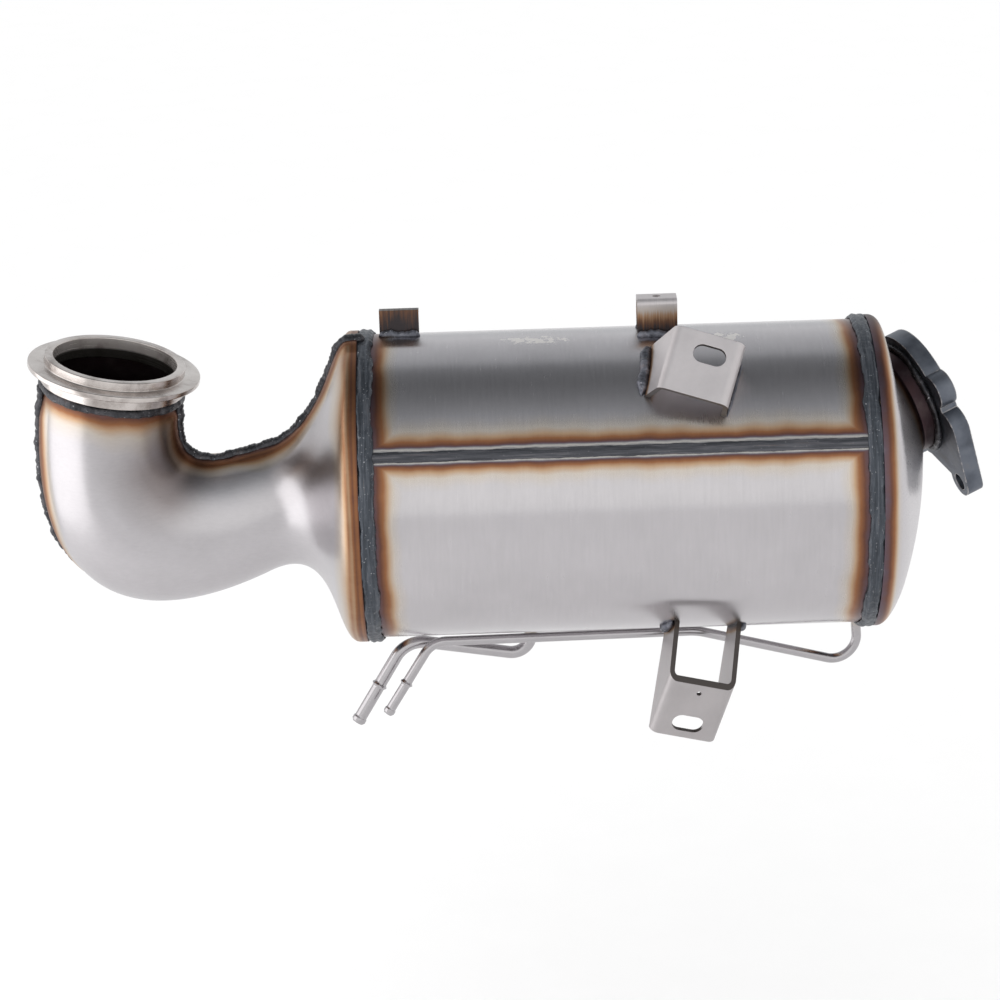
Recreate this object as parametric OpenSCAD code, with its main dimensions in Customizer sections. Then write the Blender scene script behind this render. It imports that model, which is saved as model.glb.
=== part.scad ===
// Diesel particulate filter. An elbow of two pressed half shells feeds a round can that holds an
// oxidation catalyst and a wall-flow filter, and a dished cone leads to the outlet flange.
// Lengths are millimetres. The origin is the centre of the inlet mouth, +X runs along the can from
// inlet to outlet, +Z is up, and the elbow bends in the plane Y = 0.

/* [Can] */
// Outside diameter of the can
can_d = 155; // [145:1:165]
// Sheet thickness of the can
can_wall = 1.5; // [1.2:0.1:2]
// Length of can between the edge of the elbow and the edge of the outlet cone
can_between = 257; // [256:1:300]
// Depth that the can reaches into the elbow and into the cone
can_overlap = 2; // [1:0.5:2]
// Height of the inlet mouth above the axis of the can
can_drop = 73; // [71:0.5:77]
// Roll of the long seam weld about the can, from the top towards the front
seam_roll = 59; // [50:1:66]
// Width of the long seam weld
seam_w = 5; // [3:0.5:7]
// Height of the long seam weld above the can
seam_h = 1; // [0.5:0.1:1.5]

/* [Filter bricks] */
// Thickness of the mat between each brick and the can
mat_t = 4.1; // [3.5:0.1:9]
// Length of the oxidation catalyst
catalyst_len = 60; // [40:1:60]
// Length of the filter brick
filter_len = 152.4; // [140:0.2:152.4]
// Distance from the edge of the elbow to the catalyst
catalyst_inset = 14; // [8:1:14]
// Gap between the two bricks, where the upstream pressure is taken
brick_gap = 18; // [14:1:18]
// Length of each brick end that the mat leaves bare
mat_inset = 4; // [2:1:8]

/* [Inlet flange] */
// Lean of the inlet axis towards the can
inlet_lean = 10; // [8:0.5:12]
// Diameter of the inlet bore
inlet_bore = 62.4; // [58:0.2:63]
// Diameter of the spigot lip
lip_d = 71; // [69:0.5:74]
// Height of the spigot lip above the rim
lip_h = 4.5; // [3:0.5:6]
// Diameter of the clamp rim
rim_d = 87; // [82:0.5:92]
// Height of the straight edge of the rim
rim_t = 2.6; // [2:0.1:4]
// Angle of the clamp face on the back of the rim
rim_angle = 20; // [15:1:25]
// Diameter of the hub
hub_d = 73; // [71.5:0.5:76]
// Distance from the mouth to the lower end of the hub
hub_end = 14; // [13.5:0.5:15]
// Depth of the socket that takes the neck of the elbow
socket_depth = 3; // [2:0.5:4]

/* [Elbow] */
// Sheet thickness of the elbow shells and of the outlet cone
shell_wall = 1.5; // [1.2:0.1:1.8]
// Outside diameter of the neck
neck_d = 67.4; // [66.5:0.1:68.5]
// Length of round neck below the hub
neck_straight = 4; // [4:0.5:6]
// Distance along X from the mouth to the elbow's edge on the can
elbow_reach = 122.2; // [121:0.1:128]
// Length of the round skirt that takes the can
skirt_len = 4; // [4:0.5:6]
// Position of the waist along X
waist_x = 72.2; // [70:0.2:74]
// Distance of the waist's centre below the axis of the can
waist_drop = 9.5; // [8:0.1:11]
// Height of the waist in the plane of the bend
waist_d = 66; // [63:0.5:68]
// Width of the waist across the bend
waist_w = 63; // [58:0.5:68]
// Tilt of the waist section
waist_tilt = 1.7; // [0:0.1:4]
// Added half width of the belly of the bend
belly_bulge = 3; // [0:0.5:6]
// Pull of the inside curve at the neck
inner_neck_pull = 46; // [40:0.5:48]
// Pull of the inside curve before the waist
inner_waist_pull = 14; // [12:0.5:18]
// Pull of the inside curve after the waist
inner_flare_pull = 36; // [32:0.5:40]
// Pull of the inside curve at the skirt
inner_skirt_pull = 9; // [7:0.5:12]
// Slope of the inside curve at the waist
inner_slope = 12; // [9:0.5:16]
// Pull of the outside curve at the neck
outer_neck_pull = 108; // [96:0.5:112]
// Pull of the outside curve before the waist
outer_waist_pull = 90; // [80:0.5:94]
// Pull of the outside curve after the waist
outer_flare_pull = 40; // [34:0.5:44]
// Pull of the outside curve at the skirt
outer_skirt_pull = 14; // [10:0.5:18]
// Slope of the outside curve at the waist
outer_slope = 25.5; // [20:0.5:28]
// Distance of the seam in front of the plane of the bend
seam_front = 5; // [3:0.5:6]
// Distance behind that plane to which the outside seam falls back under the bend
seam_behind = 10; // [6:0.5:11]
// Place along the outside rail, as a share of the way to the waist, where it starts to fall back
seam_leave = 0.25; // [0.2:0.05:0.3]
// Share of the way to the waist where it has fallen back
seam_settle = 0.6; // [0.5:0.05:0.7]
// Width of the raised lip on the front shell
seam_lip = 11; // [8:0.5:12]
// Run of the joggle from the shell up to the lip
joggle_run = 1.5; // [1:0.1:2]
// Depth that the rear shell reaches under the lip
seam_lap = 8; // [4:0.5:8]
// Width of the seam weld on the rear shell
bead_w = 4.5; // [3:0.5:6]
// Height of the seam weld
bead_h = 3.8; // [3.2:0.1:4.2]

/* [Ring welds] */
// Width of the welds round the can
ring_w = 9; // [6:0.5:10]
// Height of the welds above the can
ring_h = 3.2; // [2.5:0.1:4]
// Width of the weld at the inlet flange
inlet_weld_w = 4; // [3:0.5:4]
// Height of the welds at the two flanges
flange_weld_h = 3; // [2:0.1:3]

/* [Outlet] */
// Outside diameter of the outlet neck
outlet_d = 55; // [50:0.5:58]
// Distance along X from the edge of the cone to the back of the outlet flange
outlet_reach = 27; // [26:0.5:34]
// Offset of the outlet towards the rear
outlet_back = 31; // [24:0.5:32]
// Offset of the outlet above the axis of the can
outlet_up = 28; // [22:0.5:29]
// Turn of the outlet axis towards the rear
outlet_turn = 20; // [14:0.5:22]
// Rise of the outlet axis
outlet_rise = 18; // [12:0.5:20]
// Length of the round outlet neck behind the flange
outlet_neck = 9; // [8:0.5:12]
// Length of the round skirt of the cone
cone_skirt = 2; // [2:0.5:3]
// Radius of the shoulder of the cone
cone_shoulder = 18; // [14:0.5:19]
// Thickness of the outlet flange
plate_t = 9; // [7:0.5:11]
// Radius of the round part of the outlet flange
plate_r = 34; // [33:0.5:36]
// Diameter of the two bolt holes
bolt_d = 9; // [8:0.1:10]
// Half distance between the bolts
bolt_half = 30; // [29:0.5:34]
// Distance of the bolts below the centre of the outlet
bolt_down = 41; // [39:0.5:46]
// Radius of the corners round the bolts
bolt_ear_r = 8; // [7:0.5:11]
// Radius of the lug at the near side of the flange
lug_r = 9; // [7:0.5:10]

/* [Pressure tubes] */
// Outside diameter of the downstream tube
down_tube_d = 5; // [4:0.1:6]
// Outside diameter of the upstream tube
up_tube_d = 6.5; // [5:0.1:7]
// Wall thickness of both tubes
tube_wall = 0.8; // [0.6:0.1:1]
// Depth of the drop of the downstream tube below the can
down_drop = 31.5; // [28:0.5:36]
// Gap between the downstream tube and the can where it runs along the can
down_gap = 2; // [1.5:0.1:3]
// Depth of the drop of the upstream tube below the can
up_drop = 20; // [19:0.5:24]
// Gap between the upstream tube and the can before its last bend
up_gap = 5; // [4:0.5:7]
// Distance from the elbow's edge to where the downstream tube comes up to the can
down_meet = 168.8; // [160:0.2:176]
// Distance from the elbow's edge to where the downstream tube leaves the can
down_leave = 31.6; // [28:0.2:36]
// Distance from the elbow's edge to the end of the downstream tube
down_end = 7.3; // [4:0.1:10]
// Depth of the end of the downstream tube below the can
down_end_drop = 42; // [38:0.5:46]
// Offset towards the front of the run of the downstream tube
down_side = 12; // [10:0.5:14]
// Offset towards the front of the end of the downstream tube
down_end_side = 20; // [17:0.5:23]
// Distance from the elbow's edge to the last bend of the upstream tube
up_leave = 18; // [15:0.5:21]
// Distance of the end of the upstream tube short of the elbow's edge
up_end = 9; // [6:0.5:12]
// Depth of the end of the upstream tube below the can
up_end_drop = 50; // [46:0.5:54]
// Offset towards the front of the last bend of the upstream tube
up_side = 2; // [0:0.5:4]
// Offset towards the front of the end of the upstream tube
up_end_side = 12; // [10:0.5:14]
// Distance of the tube taps' weld from the tube
tap_weld = 1.5; // [1:0.1:2]
// Length of the hose end of the upstream tube
up_hose_len = 23; // [18:0.5:26]
// Length of the hose end of the downstream tube
down_hose_len = 19; // [16:0.5:22]
// Height of the hose stop bead
hose_bead = 0.9; // [0.5:0.1:1.2]
// Length of the swelled tip of the hose ends
hose_tip = 3; // [2:0.5:4]

/* [Brackets] */
// Sheet thickness of the brackets
bracket_t = 2.5; // [2:0.1:3]
// Outside radius of the bends
bracket_bend = 4.5; // [3.5:0.1:6]
// Length of the bracket slots
slot_len = 16.5; // [14:0.5:18]
// Width of the bracket slots
slot_w = 9.5; // [8.5:0.1:11]
// Width of the lower bracket
lower_w = 35; // [32:0.5:38]
// Height of the web of the lower bracket
lower_web = 33; // [31:0.5:36]
// Position of the lower bracket along X from the elbow's edge
lower_x = 158; // [140:1:165]
// Roll of the lower bracket about the can, from the top towards the front
lower_roll = 152.7; // [148:0.1:156]
// Distance from the can to the foot of the lower web
lower_reach = 56; // [54:0.5:60]
// Slant of the front edges of the lower legs behind the web
lower_slant = 49; // [45:1:53]
// Slant of the back edges of the lower legs
lower_back_slant = 37; // [34:1:40]
// Diameter of the small hole in the lower web
lower_hole = 2.5; // [2:0.1:4]
// Turns of the lower bracket about X, Y and Z
lower_pitch = 12; // [8:0.5:16]
lower_lean = 16; // [12:0.5:20]
lower_turn = 7; // [4:0.5:10]
// Width of the upper bracket
upper_w = 35.2; // [33:0.2:38]
// Height of the upper bracket
upper_h = 33.4; // [31:0.2:36]
// Position of the upper bracket along X from the elbow's edge
upper_x = 169.8; // [155:0.2:180]
// Roll of the upper bracket about the can, from the top towards the front
upper_roll = 35.8; // [34:0.1:40]
// Distance from the can to the middle of the upper web
upper_reach = 20.4; // [19:0.2:24]
// Turns of the upper bracket about X, Y and Z
upper_pitch = -40.2; // [-44:0.2:-36]
upper_lean = 15.2; // [11:0.2:19]
upper_turn = -9.9; // [-13:0.1:-7]
// Position of the slot in the upper web, across and up from its middle
upper_slot_x = 1.9; // [0:0.1:4]
upper_slot_z = 5.9; // [5:0.1:8]
// Distance of the slot from the foot of the lower web
lower_slot_edge = 4; // [3:0.5:6]
// Distance of the small hole below the top of the lower web
lower_hole_edge = 5; // [4:0.5:7]
// Lean of the upper bracket's left flange out from the web
upper_splay = 17; // [10:1:22]
// Fall of the top edge of the upper bracket's flanges towards the can
upper_fall = 3; // [1:0.5:5]
// Width and height of the welds at the brackets' feet
foot_weld = 3.5; // [2.5:0.1:4.5]

/* [Heat shield holders] */
// Sheet thickness of the strap and the tab
holder_t = 1.5; // [1:0.1:2]
// Width of the strap and the tab along the can
holder_w = 20; // [16:0.5:22]
// Height of the strap above the can
strap_h = 18; // [15:0.5:20]
// Depth of the strap
strap_depth = 14; // [12:0.5:18]
// Diameter of the hole in the strap
strap_hole = 4.2; // [3:0.1:6]
// Position of the strap along X from the elbow's edge
strap_x = 151; // [130:1:152]
// Roll of the strap about the can, from the top towards the front
strap_roll = -3; // [-8:0.5:2]
// Height of the tab above the can
tab_h = 13; // [11:0.5:16]
// Depth of the top of the tab
tab_depth = 6; // [5:0.5:10]
// Position of the tab along X from the elbow's edge
tab_x = 21; // [20:0.5:26]
// Roll of the tab about the can, from the top towards the front
tab_roll = -8; // [-14:0.5:-4]
// Width and height of the welds at the holders
holder_weld = 3.5; // [2.5:0.1:4.5]

/* [Hidden] */
$fn = 64;
// Clearance of a sliding fit, and of a weld round a facetted neck
fit = 0.3;
weld_fit = 0.05;
can_r = can_d / 2;
brick_r = can_r - can_wall - mat_t;
cone_edge = elbow_reach + can_between;
neck_r = neck_d / 2;
outlet_r = outlet_d / 2;
// Facets of a half shell between its two lips, and round the cone
half_facets = 18;
cone_facets = 48;
// Facets round a tube, and the turn from one facet of a bend to the next
tube_facets = 14;
bend_step = 14;
// A facetted skirt is opened until its flats clear the can
facet_open = 1 / cos(180 / (2 * half_facets));
skirt_r = (can_r + fit) * facet_open + shell_wall;
// Stations along the elbow, from the neck to the waist and from the waist to the skirt
bend_steps = 16;
flare_steps = 13;
lip_lift = shell_wall + fit;
// Small step for measuring a slope
slope_step = 0.002;

// Plain vector helpers
function unit(v) = v / norm(v);
function flat(rows) = [for (row = rows) for (p = row) p];
function bezier(a, b, c, d, t) =
    a * pow(1 - t, 3) + 3 * b * t * pow(1 - t, 2) + 3 * c * t * t * (1 - t) + d * pow(t, 3);
// Point of the plane of the bend, from X and Z
function in_plane(p) = [p[0], 0, p[1]];

// The elbow follows two rails in the plane of the bend, the inside and the outside of the curve
inlet_down = [-sin(inlet_lean), -cos(inlet_lean)];
inlet_side = [cos(inlet_lean), -sin(inlet_lean)];
neck_start = hub_end - socket_depth;
neck_end = hub_end + neck_straight;
waist = [waist_x, -can_drop - waist_drop];
waist_up = [-sin(waist_tilt), cos(waist_tilt)];
shoulder_x = elbow_reach - skirt_len;

// One rail: side is 1 for the inside of the bend and -1 for the outside, t runs from 0 to 2
function rail_neck(side) = neck_end * inlet_down + side * neck_r * inlet_side;
function rail_waist(side) = waist + side * waist_d / 2 * waist_up;
function rail_skirt(side) = [shoulder_x, -can_drop + side * skirt_r];
function rail_slope(side) =
    let (a = side > 0 ? inner_slope : outer_slope)
    [cos(a), sin(a)];
function rail(side, t) =
    let (inside = side > 0)
    let (p = rail_neck(side))
    let (q = rail_waist(side))
    let (r = rail_skirt(side))
    t <= 1
    ? bezier(p, p + inlet_down * (inside ? inner_neck_pull : outer_neck_pull),
             q - rail_slope(side) * (inside ? inner_waist_pull : outer_waist_pull), q, t)
    : bezier(q, q + rail_slope(side) * (inside ? inner_flare_pull : outer_flare_pull),
             r - [inside ? inner_skirt_pull : outer_skirt_pull, 0], r, t - 1);
// Half width across the bend
function half_width(t) =
    let (w = waist_w / 2)
    t <= 1
    ? bezier(neck_r, neck_r + belly_bulge, w + belly_bulge, w, t)
    : bezier(w, w, skirt_r, skirt_r, t - 1);

// A station is the rail position, a shift along X or along the neck, and the step that the seam
// lip and the lap of the rear shell have reached there
stations = concat(
    [[0, neck_start - neck_end, 0, 0], [0, 0, 0, 0]],
    [for (i = [1 : bend_steps]) [i / bend_steps, 0, 1, i == 1 ? 0 : i == 2 ? 0.5 : 1]],
    [for (i = [1 : flare_steps]) [1 + i / flare_steps, 0, 1, 1]],
    [[2, skirt_len, 1, 1]]);
function station_shift(s) = s[0] == 0 ? in_plane(inlet_down * s[1]) : [s[1], 0, 0];

// Point of the elbow's outside surface: turn 0 is the inside rail, 90 the front, 180 the outside
function elbow_point(t, turn) =
    let (p = in_plane(rail(1, t)))
    let (q = in_plane(rail(-1, t)))
    (p + q) / 2 + (p - q) / 2 * cos(turn) + [0, -half_width(t) * sin(turn), 0];
function elbow_normal(t, turn) =
    let (a = max(t - slope_step, 0))
    let (b = min(t + slope_step, 2))
    let (along = elbow_point(b, turn) - elbow_point(a, turn))
    let (round = elbow_point(t, turn + 0.2) - elbow_point(t, turn - 0.2))
    unit(cross(round, along));
// The same point moved out along the normal
function elbow_at(s, turn, out) =
    elbow_point(s[0], turn) + station_shift(s) + out * elbow_normal(s[0], turn);
// Turn at which the surface lies a distance in front of the plane of the bend
function front_turn(s, distance) = asin(distance / half_width(s[0]));

// Share of the way from 0 to 1 with a level start and end
function ease(x) =
    let (t = min(max(x, 0), 1))
    t * t * (3 - 2 * t);
// Distance of the seam in front of the plane: side is 1 on the inside of the bend, -1 on the outside
function seam_place(s, side) =
    let (gone = ease((s[0] - seam_leave) / (seam_settle - seam_leave)))
    side > 0 ? seam_front : seam_front - (seam_front + seam_behind) * gone;
// Turn of a line that lies ahead of the edge of the lip
function seam_turn(s, side, ahead) =
    let (turn = front_turn(s, seam_place(s, side) + ahead))
    side > 0 ? turn : 180 - turn;
// Turns from a to b in even steps
function even_turns(a, b) = [for (j = [0 : half_facets]) a + (b - a) * j / half_facets];

// Turns of the front shell at one station: edge, end of the lap under it, lip, joggle, even steps,
// and the same at the outside seam
lip_lines = [0, seam_lap, seam_lip];
function front_turns(s) =
    let (foot = seam_lip + joggle_run)
    concat([for (ahead = lip_lines) seam_turn(s, 1, ahead)],
           even_turns(seam_turn(s, 1, foot), seam_turn(s, -1, foot)),
           [for (k = [2, 1, 0]) seam_turn(s, -1, lip_lines[k])]);
function front_lift(s, j) =
    (j < 3 || j > half_facets + 3) ? lip_lift * s[2] : 0;
// Turns of the rear shell: lap under the lip, lip edge, weld edge, even steps, and the same again
function rear_turns(s) =
    let (lap = seam_lap * s[3])
    let (edge = s[3] > 0 ? 0 : -bead_w / 4)
    concat([seam_turn(s, 1, lap), seam_turn(s, 1, edge)],
           even_turns(seam_turn(s, 1, -bead_w), seam_turn(s, -1, -bead_w) - 360),
           [seam_turn(s, -1, edge) - 360, seam_turn(s, -1, lap) - 360]);

// Solid between an outer and an inner grid of points
module sheet_solid(outer, inner) {
    rows = len(outer);
    cols = len(outer[0]);
    base = rows * cols;
    polyhedron(
        points = concat(flat(outer), flat(inner)),
        faces = concat(
            [for (i = [0 : rows - 2]) for (j = [0 : cols - 2])
                each [[i * cols + j, i * cols + j + 1, (i + 1) * cols + j + 1],
                      [i * cols + j, (i + 1) * cols + j + 1, (i + 1) * cols + j]]],
            [for (i = [0 : rows - 2]) for (j = [0 : cols - 2])
                each [[base + i * cols + j, base + (i + 1) * cols + j + 1, base + i * cols + j + 1],
                      [base + i * cols + j, base + (i + 1) * cols + j, base + (i + 1) * cols + j + 1]]],
            [for (i = [0 : rows - 2]) for (j = [0, cols - 1])
                each (j == 0
                    ? [[i * cols, (i + 1) * cols, base + (i + 1) * cols],
                       [i * cols, base + (i + 1) * cols, base + i * cols]]
                    : [[i * cols + j, base + (i + 1) * cols + j, (i + 1) * cols + j],
                       [i * cols + j, base + i * cols + j, base + (i + 1) * cols + j]])],
            [for (j = [0 : cols - 2]) for (i = [0, rows - 1])
                each (i == 0
                    ? [[j, base + j + 1, j + 1], [j, base + j, base + j + 1]]
                    : [[i * cols + j, i * cols + j + 1, base + i * cols + j + 1],
                       [i * cols + j, base + i * cols + j + 1, base + i * cols + j]])]),
        convexity = 8);
}

// Solid through a row of closed sections with the same number of points
module section_solid(sections) {
    rows = len(sections);
    cols = len(sections[0]);
    polyhedron(
        points = flat(sections),
        faces = concat(
            [for (i = [0 : rows - 2]) for (j = [0 : cols - 1])
                let (k = (j + 1) % cols)
                each [[i * cols + j, i * cols + k, (i + 1) * cols + k],
                      [i * cols + j, (i + 1) * cols + k, (i + 1) * cols + j]]],
            [for (j = [1 : cols - 2]) [0, j + 1, j]],
            [for (j = [1 : cols - 2]) [(rows - 1) * cols, (rows - 1) * cols + j, (rows - 1) * cols + j + 1]]),
        convexity = 8);
}

module elbow_front_shell() {
    outer = [for (s = stations)
        let (turns = front_turns(s))
        [for (j = [0 : len(turns) - 1]) elbow_at(s, turns[j], front_lift(s, j))]];
    inner = [for (s = stations)
        let (turns = front_turns(s))
        [for (j = [0 : len(turns) - 1]) elbow_at(s, turns[j], front_lift(s, j) - shell_wall)]];
    color("silver") sheet_solid(outer, inner);
}

module elbow_rear_shell() {
    outer = [for (s = stations) [for (turn = rear_turns(s)) elbow_at(s, turn, 0)]];
    inner = [for (s = stations) [for (turn = rear_turns(s)) elbow_at(s, turn, -shell_wall)]];
    color("silver") sheet_solid(inner, outer);
}

// Weld in the corner between the lip's edge and the rear shell, side 1 on the inside of the bend
bead_crown = 0.45;
module seam_weld(side) {
    first = 2;
    lines = [0, -bead_w, -bead_w * bead_crown, 0];
    lifts = [0, 0, bead_h, lip_lift + shell_wall];
    order = side > 0 ? [0, 1, 2, 3] : [0, 3, 2, 1];
    section_solid([for (i = [first : len(stations) - 1])
        [for (k = order) elbow_at(stations[i], seam_turn(stations[i], side, lines[k]), lifts[k])]]);
}

module elbow_inner_seam_weld() {
    color("dimgray") seam_weld(1);
}

module elbow_outer_seam_weld() {
    color("dimgray") seam_weld(-1);
}

// Frame of the inlet flange: Z along the inlet axis, zero at the mouth
module on_inlet() {
    rotate([0, inlet_lean, 0]) children();
}

module inlet_flange() {
    back_drop = (rim_d - hub_d) / 2 * tan(rim_angle);
    edge_break = 0.5;
    color("gainsboro") on_inlet() rotate_extrude() polygon([
        [inlet_bore / 2, 0],
        [lip_d / 2 - edge_break, 0],
        [lip_d / 2, -edge_break],
        [lip_d / 2, -lip_h],
        [rim_d / 2 - edge_break, -lip_h],
        [rim_d / 2, -lip_h - edge_break],
        [rim_d / 2, -lip_h - rim_t],
        [hub_d / 2, -lip_h - rim_t - back_drop],
        [hub_d / 2, -hub_end],
        [neck_r + fit, -hub_end],
        [neck_r + fit, -neck_start],
        [inlet_bore / 2, -neck_start]]);
}

module inlet_flange_weld() {
    inside = neck_r + weld_fit;
    color("dimgray") on_inlet() rotate_extrude() polygon([
        [inside, -hub_end],
        [inside + flange_weld_h, -hub_end],
        [inside + flange_weld_h, -hub_end - inlet_weld_w * 0.4],
        [inside + flange_weld_h * 0.6, -hub_end - inlet_weld_w * 0.85],
        [inside, -hub_end - inlet_weld_w]]);
}

// Frame of the can: X along its axis, from the inlet mouth
module on_can_axis() {
    translate([0, 0, -can_drop]) children();
}
// Solid of revolution about the can's axis from a profile of [x, radius]
module can_turned(profile) {
    on_can_axis() rotate([90, 0, 90]) rotate_extrude($fn = 128)
        polygon([for (p = profile) [p[1], p[0]]]);
}
// Frame on the can's surface: X along the can, Z out of it, at a roll from the top to the front
module on_can(x, roll) {
    on_can_axis() translate([x, 0, 0]) rotate([roll, 0, 0]) translate([0, 0, can_r]) children();
}
module can_volume() {
    on_can_axis() rotate([0, 90, 0]) cylinder(r = can_r, h = cone_edge + elbow_reach, $fn = 256);
}

can_start = elbow_reach - can_overlap;
can_end = cone_edge + can_overlap;
up_tap_x = elbow_reach + catalyst_inset + catalyst_len + brick_gap / 2;

// Bore through the underside of the can for a tap
module tap_bore(x, tube_d) {
    on_can_axis() translate([x, 0, -can_r - 2 * ring_h])
        cylinder(d = tube_d + 2 * weld_fit, h = 2 * ring_h + 2 * can_wall);
}

module can_shell() {
    color("silver") difference() {
        can_turned([[can_start, can_r - can_wall], [can_start, can_r],
                    [can_end, can_r], [can_end, can_r - can_wall]]);
        tap_bore(up_tap_x, up_tube_d);
        tap_bore(down_tap_x, down_tube_d);
    }
}

module can_seam_weld() {
    x0 = elbow_reach + ring_w;
    x1 = cone_edge - ring_w;
    half = asin(seam_w / 2 / can_r);
    color("dimgray") on_can_axis() translate([x0, 0, 0]) rotate([90, 0, 90])
        linear_extrude(height = x1 - x0) intersection() {
            difference() {
                circle(r = can_r + seam_h, $fn = 128);
                circle(r = can_r, $fn = 128);
            }
            polygon([[0, 0], 1.1 * can_r * [cos(90 + seam_roll - half), sin(90 + seam_roll - half)],
                     1.1 * can_r * [cos(90 + seam_roll + half), sin(90 + seam_roll + half)]]);
        }
}

// Weld round the can against the edge at x, running in direction way
module ring_weld(x, way) {
    foot = x + way * weld_fit;
    can_turned([[foot, can_r], [foot, can_r + ring_h * 0.8], [x + way * ring_w * 0.35, can_r + ring_h],
                [x + way * ring_w * 0.8, can_r + ring_h * 0.6], [x + way * ring_w, can_r]]);
}

module inlet_ring_weld() {
    color("dimgray") ring_weld(elbow_reach, 1);
}

module outlet_ring_weld() {
    color("dimgray") difference() {
        ring_weld(cone_edge, -1);
        tap_bore(down_tap_x, down_tube_d);
    }
}

module brick(x, length) {
    can_turned([[x, 0], [x, brick_r], [x + length, brick_r], [x + length, 0]]);
}

module mat(x, length) {
    can_turned([[x + mat_inset, brick_r], [x + mat_inset, can_r - can_wall],
                [x + length - mat_inset, can_r - can_wall], [x + length - mat_inset, brick_r]]);
}

catalyst_x = elbow_reach + catalyst_inset;
filter_x = catalyst_x + catalyst_len + brick_gap;

module catalyst_brick() {
    color("tan") brick(catalyst_x, catalyst_len);
}

module catalyst_mat() {
    color("beige") mat(catalyst_x, catalyst_len);
}

module filter_brick() {
    color("rosybrown") brick(filter_x, filter_len);
}

module filter_mat() {
    color("beige") mat(filter_x, filter_len);
}

// Frame of the outlet: Z along the outlet axis, zero at the back of the flange, Y up its face
module on_outlet() {
    on_can_axis() translate([cone_edge + outlet_reach, outlet_back, outlet_up])
        rotate([0, 0, outlet_turn]) rotate([0, -outlet_rise, 0]) rotate([90, 0, 90]) children();
}

// The cone runs from the skirt over the shoulder to the neck. Each ring is [radius, advance along X,
// share of the offset and tilt of the outlet, length along the outlet axis]
cone_r = skirt_r;
shoulder_turn = 72;
shoulder_steps = 6;
face_steps = 6;
neck_insert = plate_t * 0.6;
face_r = cone_r - cone_shoulder * (1 - cos(shoulder_turn));
// Share of the cone's advance that the shoulder takes, and how late its rings turn to the outlet
shoulder_share = 0.5;
tilt_growth = 1.3;
outlet_axis = [cos(outlet_rise) * cos(outlet_turn), cos(outlet_rise) * sin(outlet_turn), sin(outlet_rise)];
neck_x = outlet_reach - outlet_neck * outlet_axis[0];
face_run = neck_x - cone_skirt;
function cone_share(r) = pow((cone_r - r) / (cone_r - outlet_r), tilt_growth);
cone_rings = concat(
    [[cone_r, 0, 0, 0]],
    [for (i = [0 : shoulder_steps])
        let (a = shoulder_turn * i / shoulder_steps)
        let (r = cone_r - cone_shoulder * (1 - cos(a)))
        [r, cone_skirt + face_run * shoulder_share * sin(a) / sin(shoulder_turn), cone_share(r), 0]],
    [for (i = [1 : face_steps])
        let (f = i / face_steps)
        let (r = face_r + (outlet_r - face_r) * sin(90 * f))
        [r, cone_skirt + face_run * (shoulder_share + (1 - shoulder_share) * f), cone_share(r), 0]],
    [[outlet_r, neck_x, 1, outlet_neck], [outlet_r, neck_x, 1, outlet_neck + neck_insert]]);
function cone_ring(ring) =
    let (w = ring[2])
    let (yaw = outlet_turn * w)
    let (rise = outlet_rise * w)
    let (axis = [cos(rise) * cos(yaw), cos(rise) * sin(yaw), sin(rise)])
    let (side = [-sin(yaw), cos(yaw), 0])
    let (up = cross(axis, side))
    let (centre = [cone_edge + ring[1], (outlet_back - outlet_neck * outlet_axis[1]) * w,
                   (outlet_up - outlet_neck * outlet_axis[2]) * w - can_drop])
    [for (k = [0 : cone_facets - 1])
        centre + axis * ring[3]
        + ring[0] * (side * cos(360 * k / cone_facets) + up * sin(360 * k / cone_facets))];
// Rings moved in along the surface's normal
function inset_rings(rings, depth) =
    let (rows = len(rings))
    let (cols = len(rings[0]))
    [for (i = [0 : rows - 1]) [for (k = [0 : cols - 1])
        let (round = rings[i][(k + 1) % cols] - rings[i][(k + cols - 1) % cols])
        let (along = rings[min(i + 1, rows - 1)][k] - rings[max(i - 1, 0)][k])
        rings[i][k] - depth * unit(cross(round, along))]];

module outlet_cone() {
    outer = [for (ring = cone_rings) cone_ring(ring)];
    inner = inset_rings(outer, shell_wall);
    color("silver") tube_solid(outer, inner);
}

// Closed pipe between two rows of rings
module tube_solid(outer, inner) {
    rows = len(outer);
    cols = len(outer[0]);
    base = rows * cols;
    polyhedron(
        points = concat(flat(outer), flat(inner)),
        faces = concat(
            [for (i = [0 : rows - 2]) for (j = [0 : cols - 1])
                let (k = (j + 1) % cols)
                each [[i * cols + j, (i + 1) * cols + k, i * cols + k],
                      [i * cols + j, (i + 1) * cols + j, (i + 1) * cols + k],
                      [base + i * cols + j, base + i * cols + k, base + (i + 1) * cols + k],
                      [base + i * cols + j, base + (i + 1) * cols + k, base + (i + 1) * cols + j]]],
            [for (j = [0 : cols - 1])
                let (k = (j + 1) % cols)
                let (last = (rows - 1) * cols)
                each [[j, k, base + k], [j, base + k, base + j],
                      [last + j, base + last + k, last + k],
                      [last + j, base + last + j, base + last + k]]]),
        convexity = 8);
}

// Flat shape round two circles
module link(p, pr, q, qr) {
    d = norm(q - p);
    a = atan2(q[1] - p[1], q[0] - p[0]);
    b = acos((pr - qr) / d);
    translate(p) circle(r = pr);
    translate(q) circle(r = qr);
    polygon([p + pr * [cos(a + b), sin(a + b)], p + pr * [cos(a - b), sin(a - b)],
             q + qr * [cos(a - b), sin(a - b)], q + qr * [cos(a + b), sin(a + b)]]);
}

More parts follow.
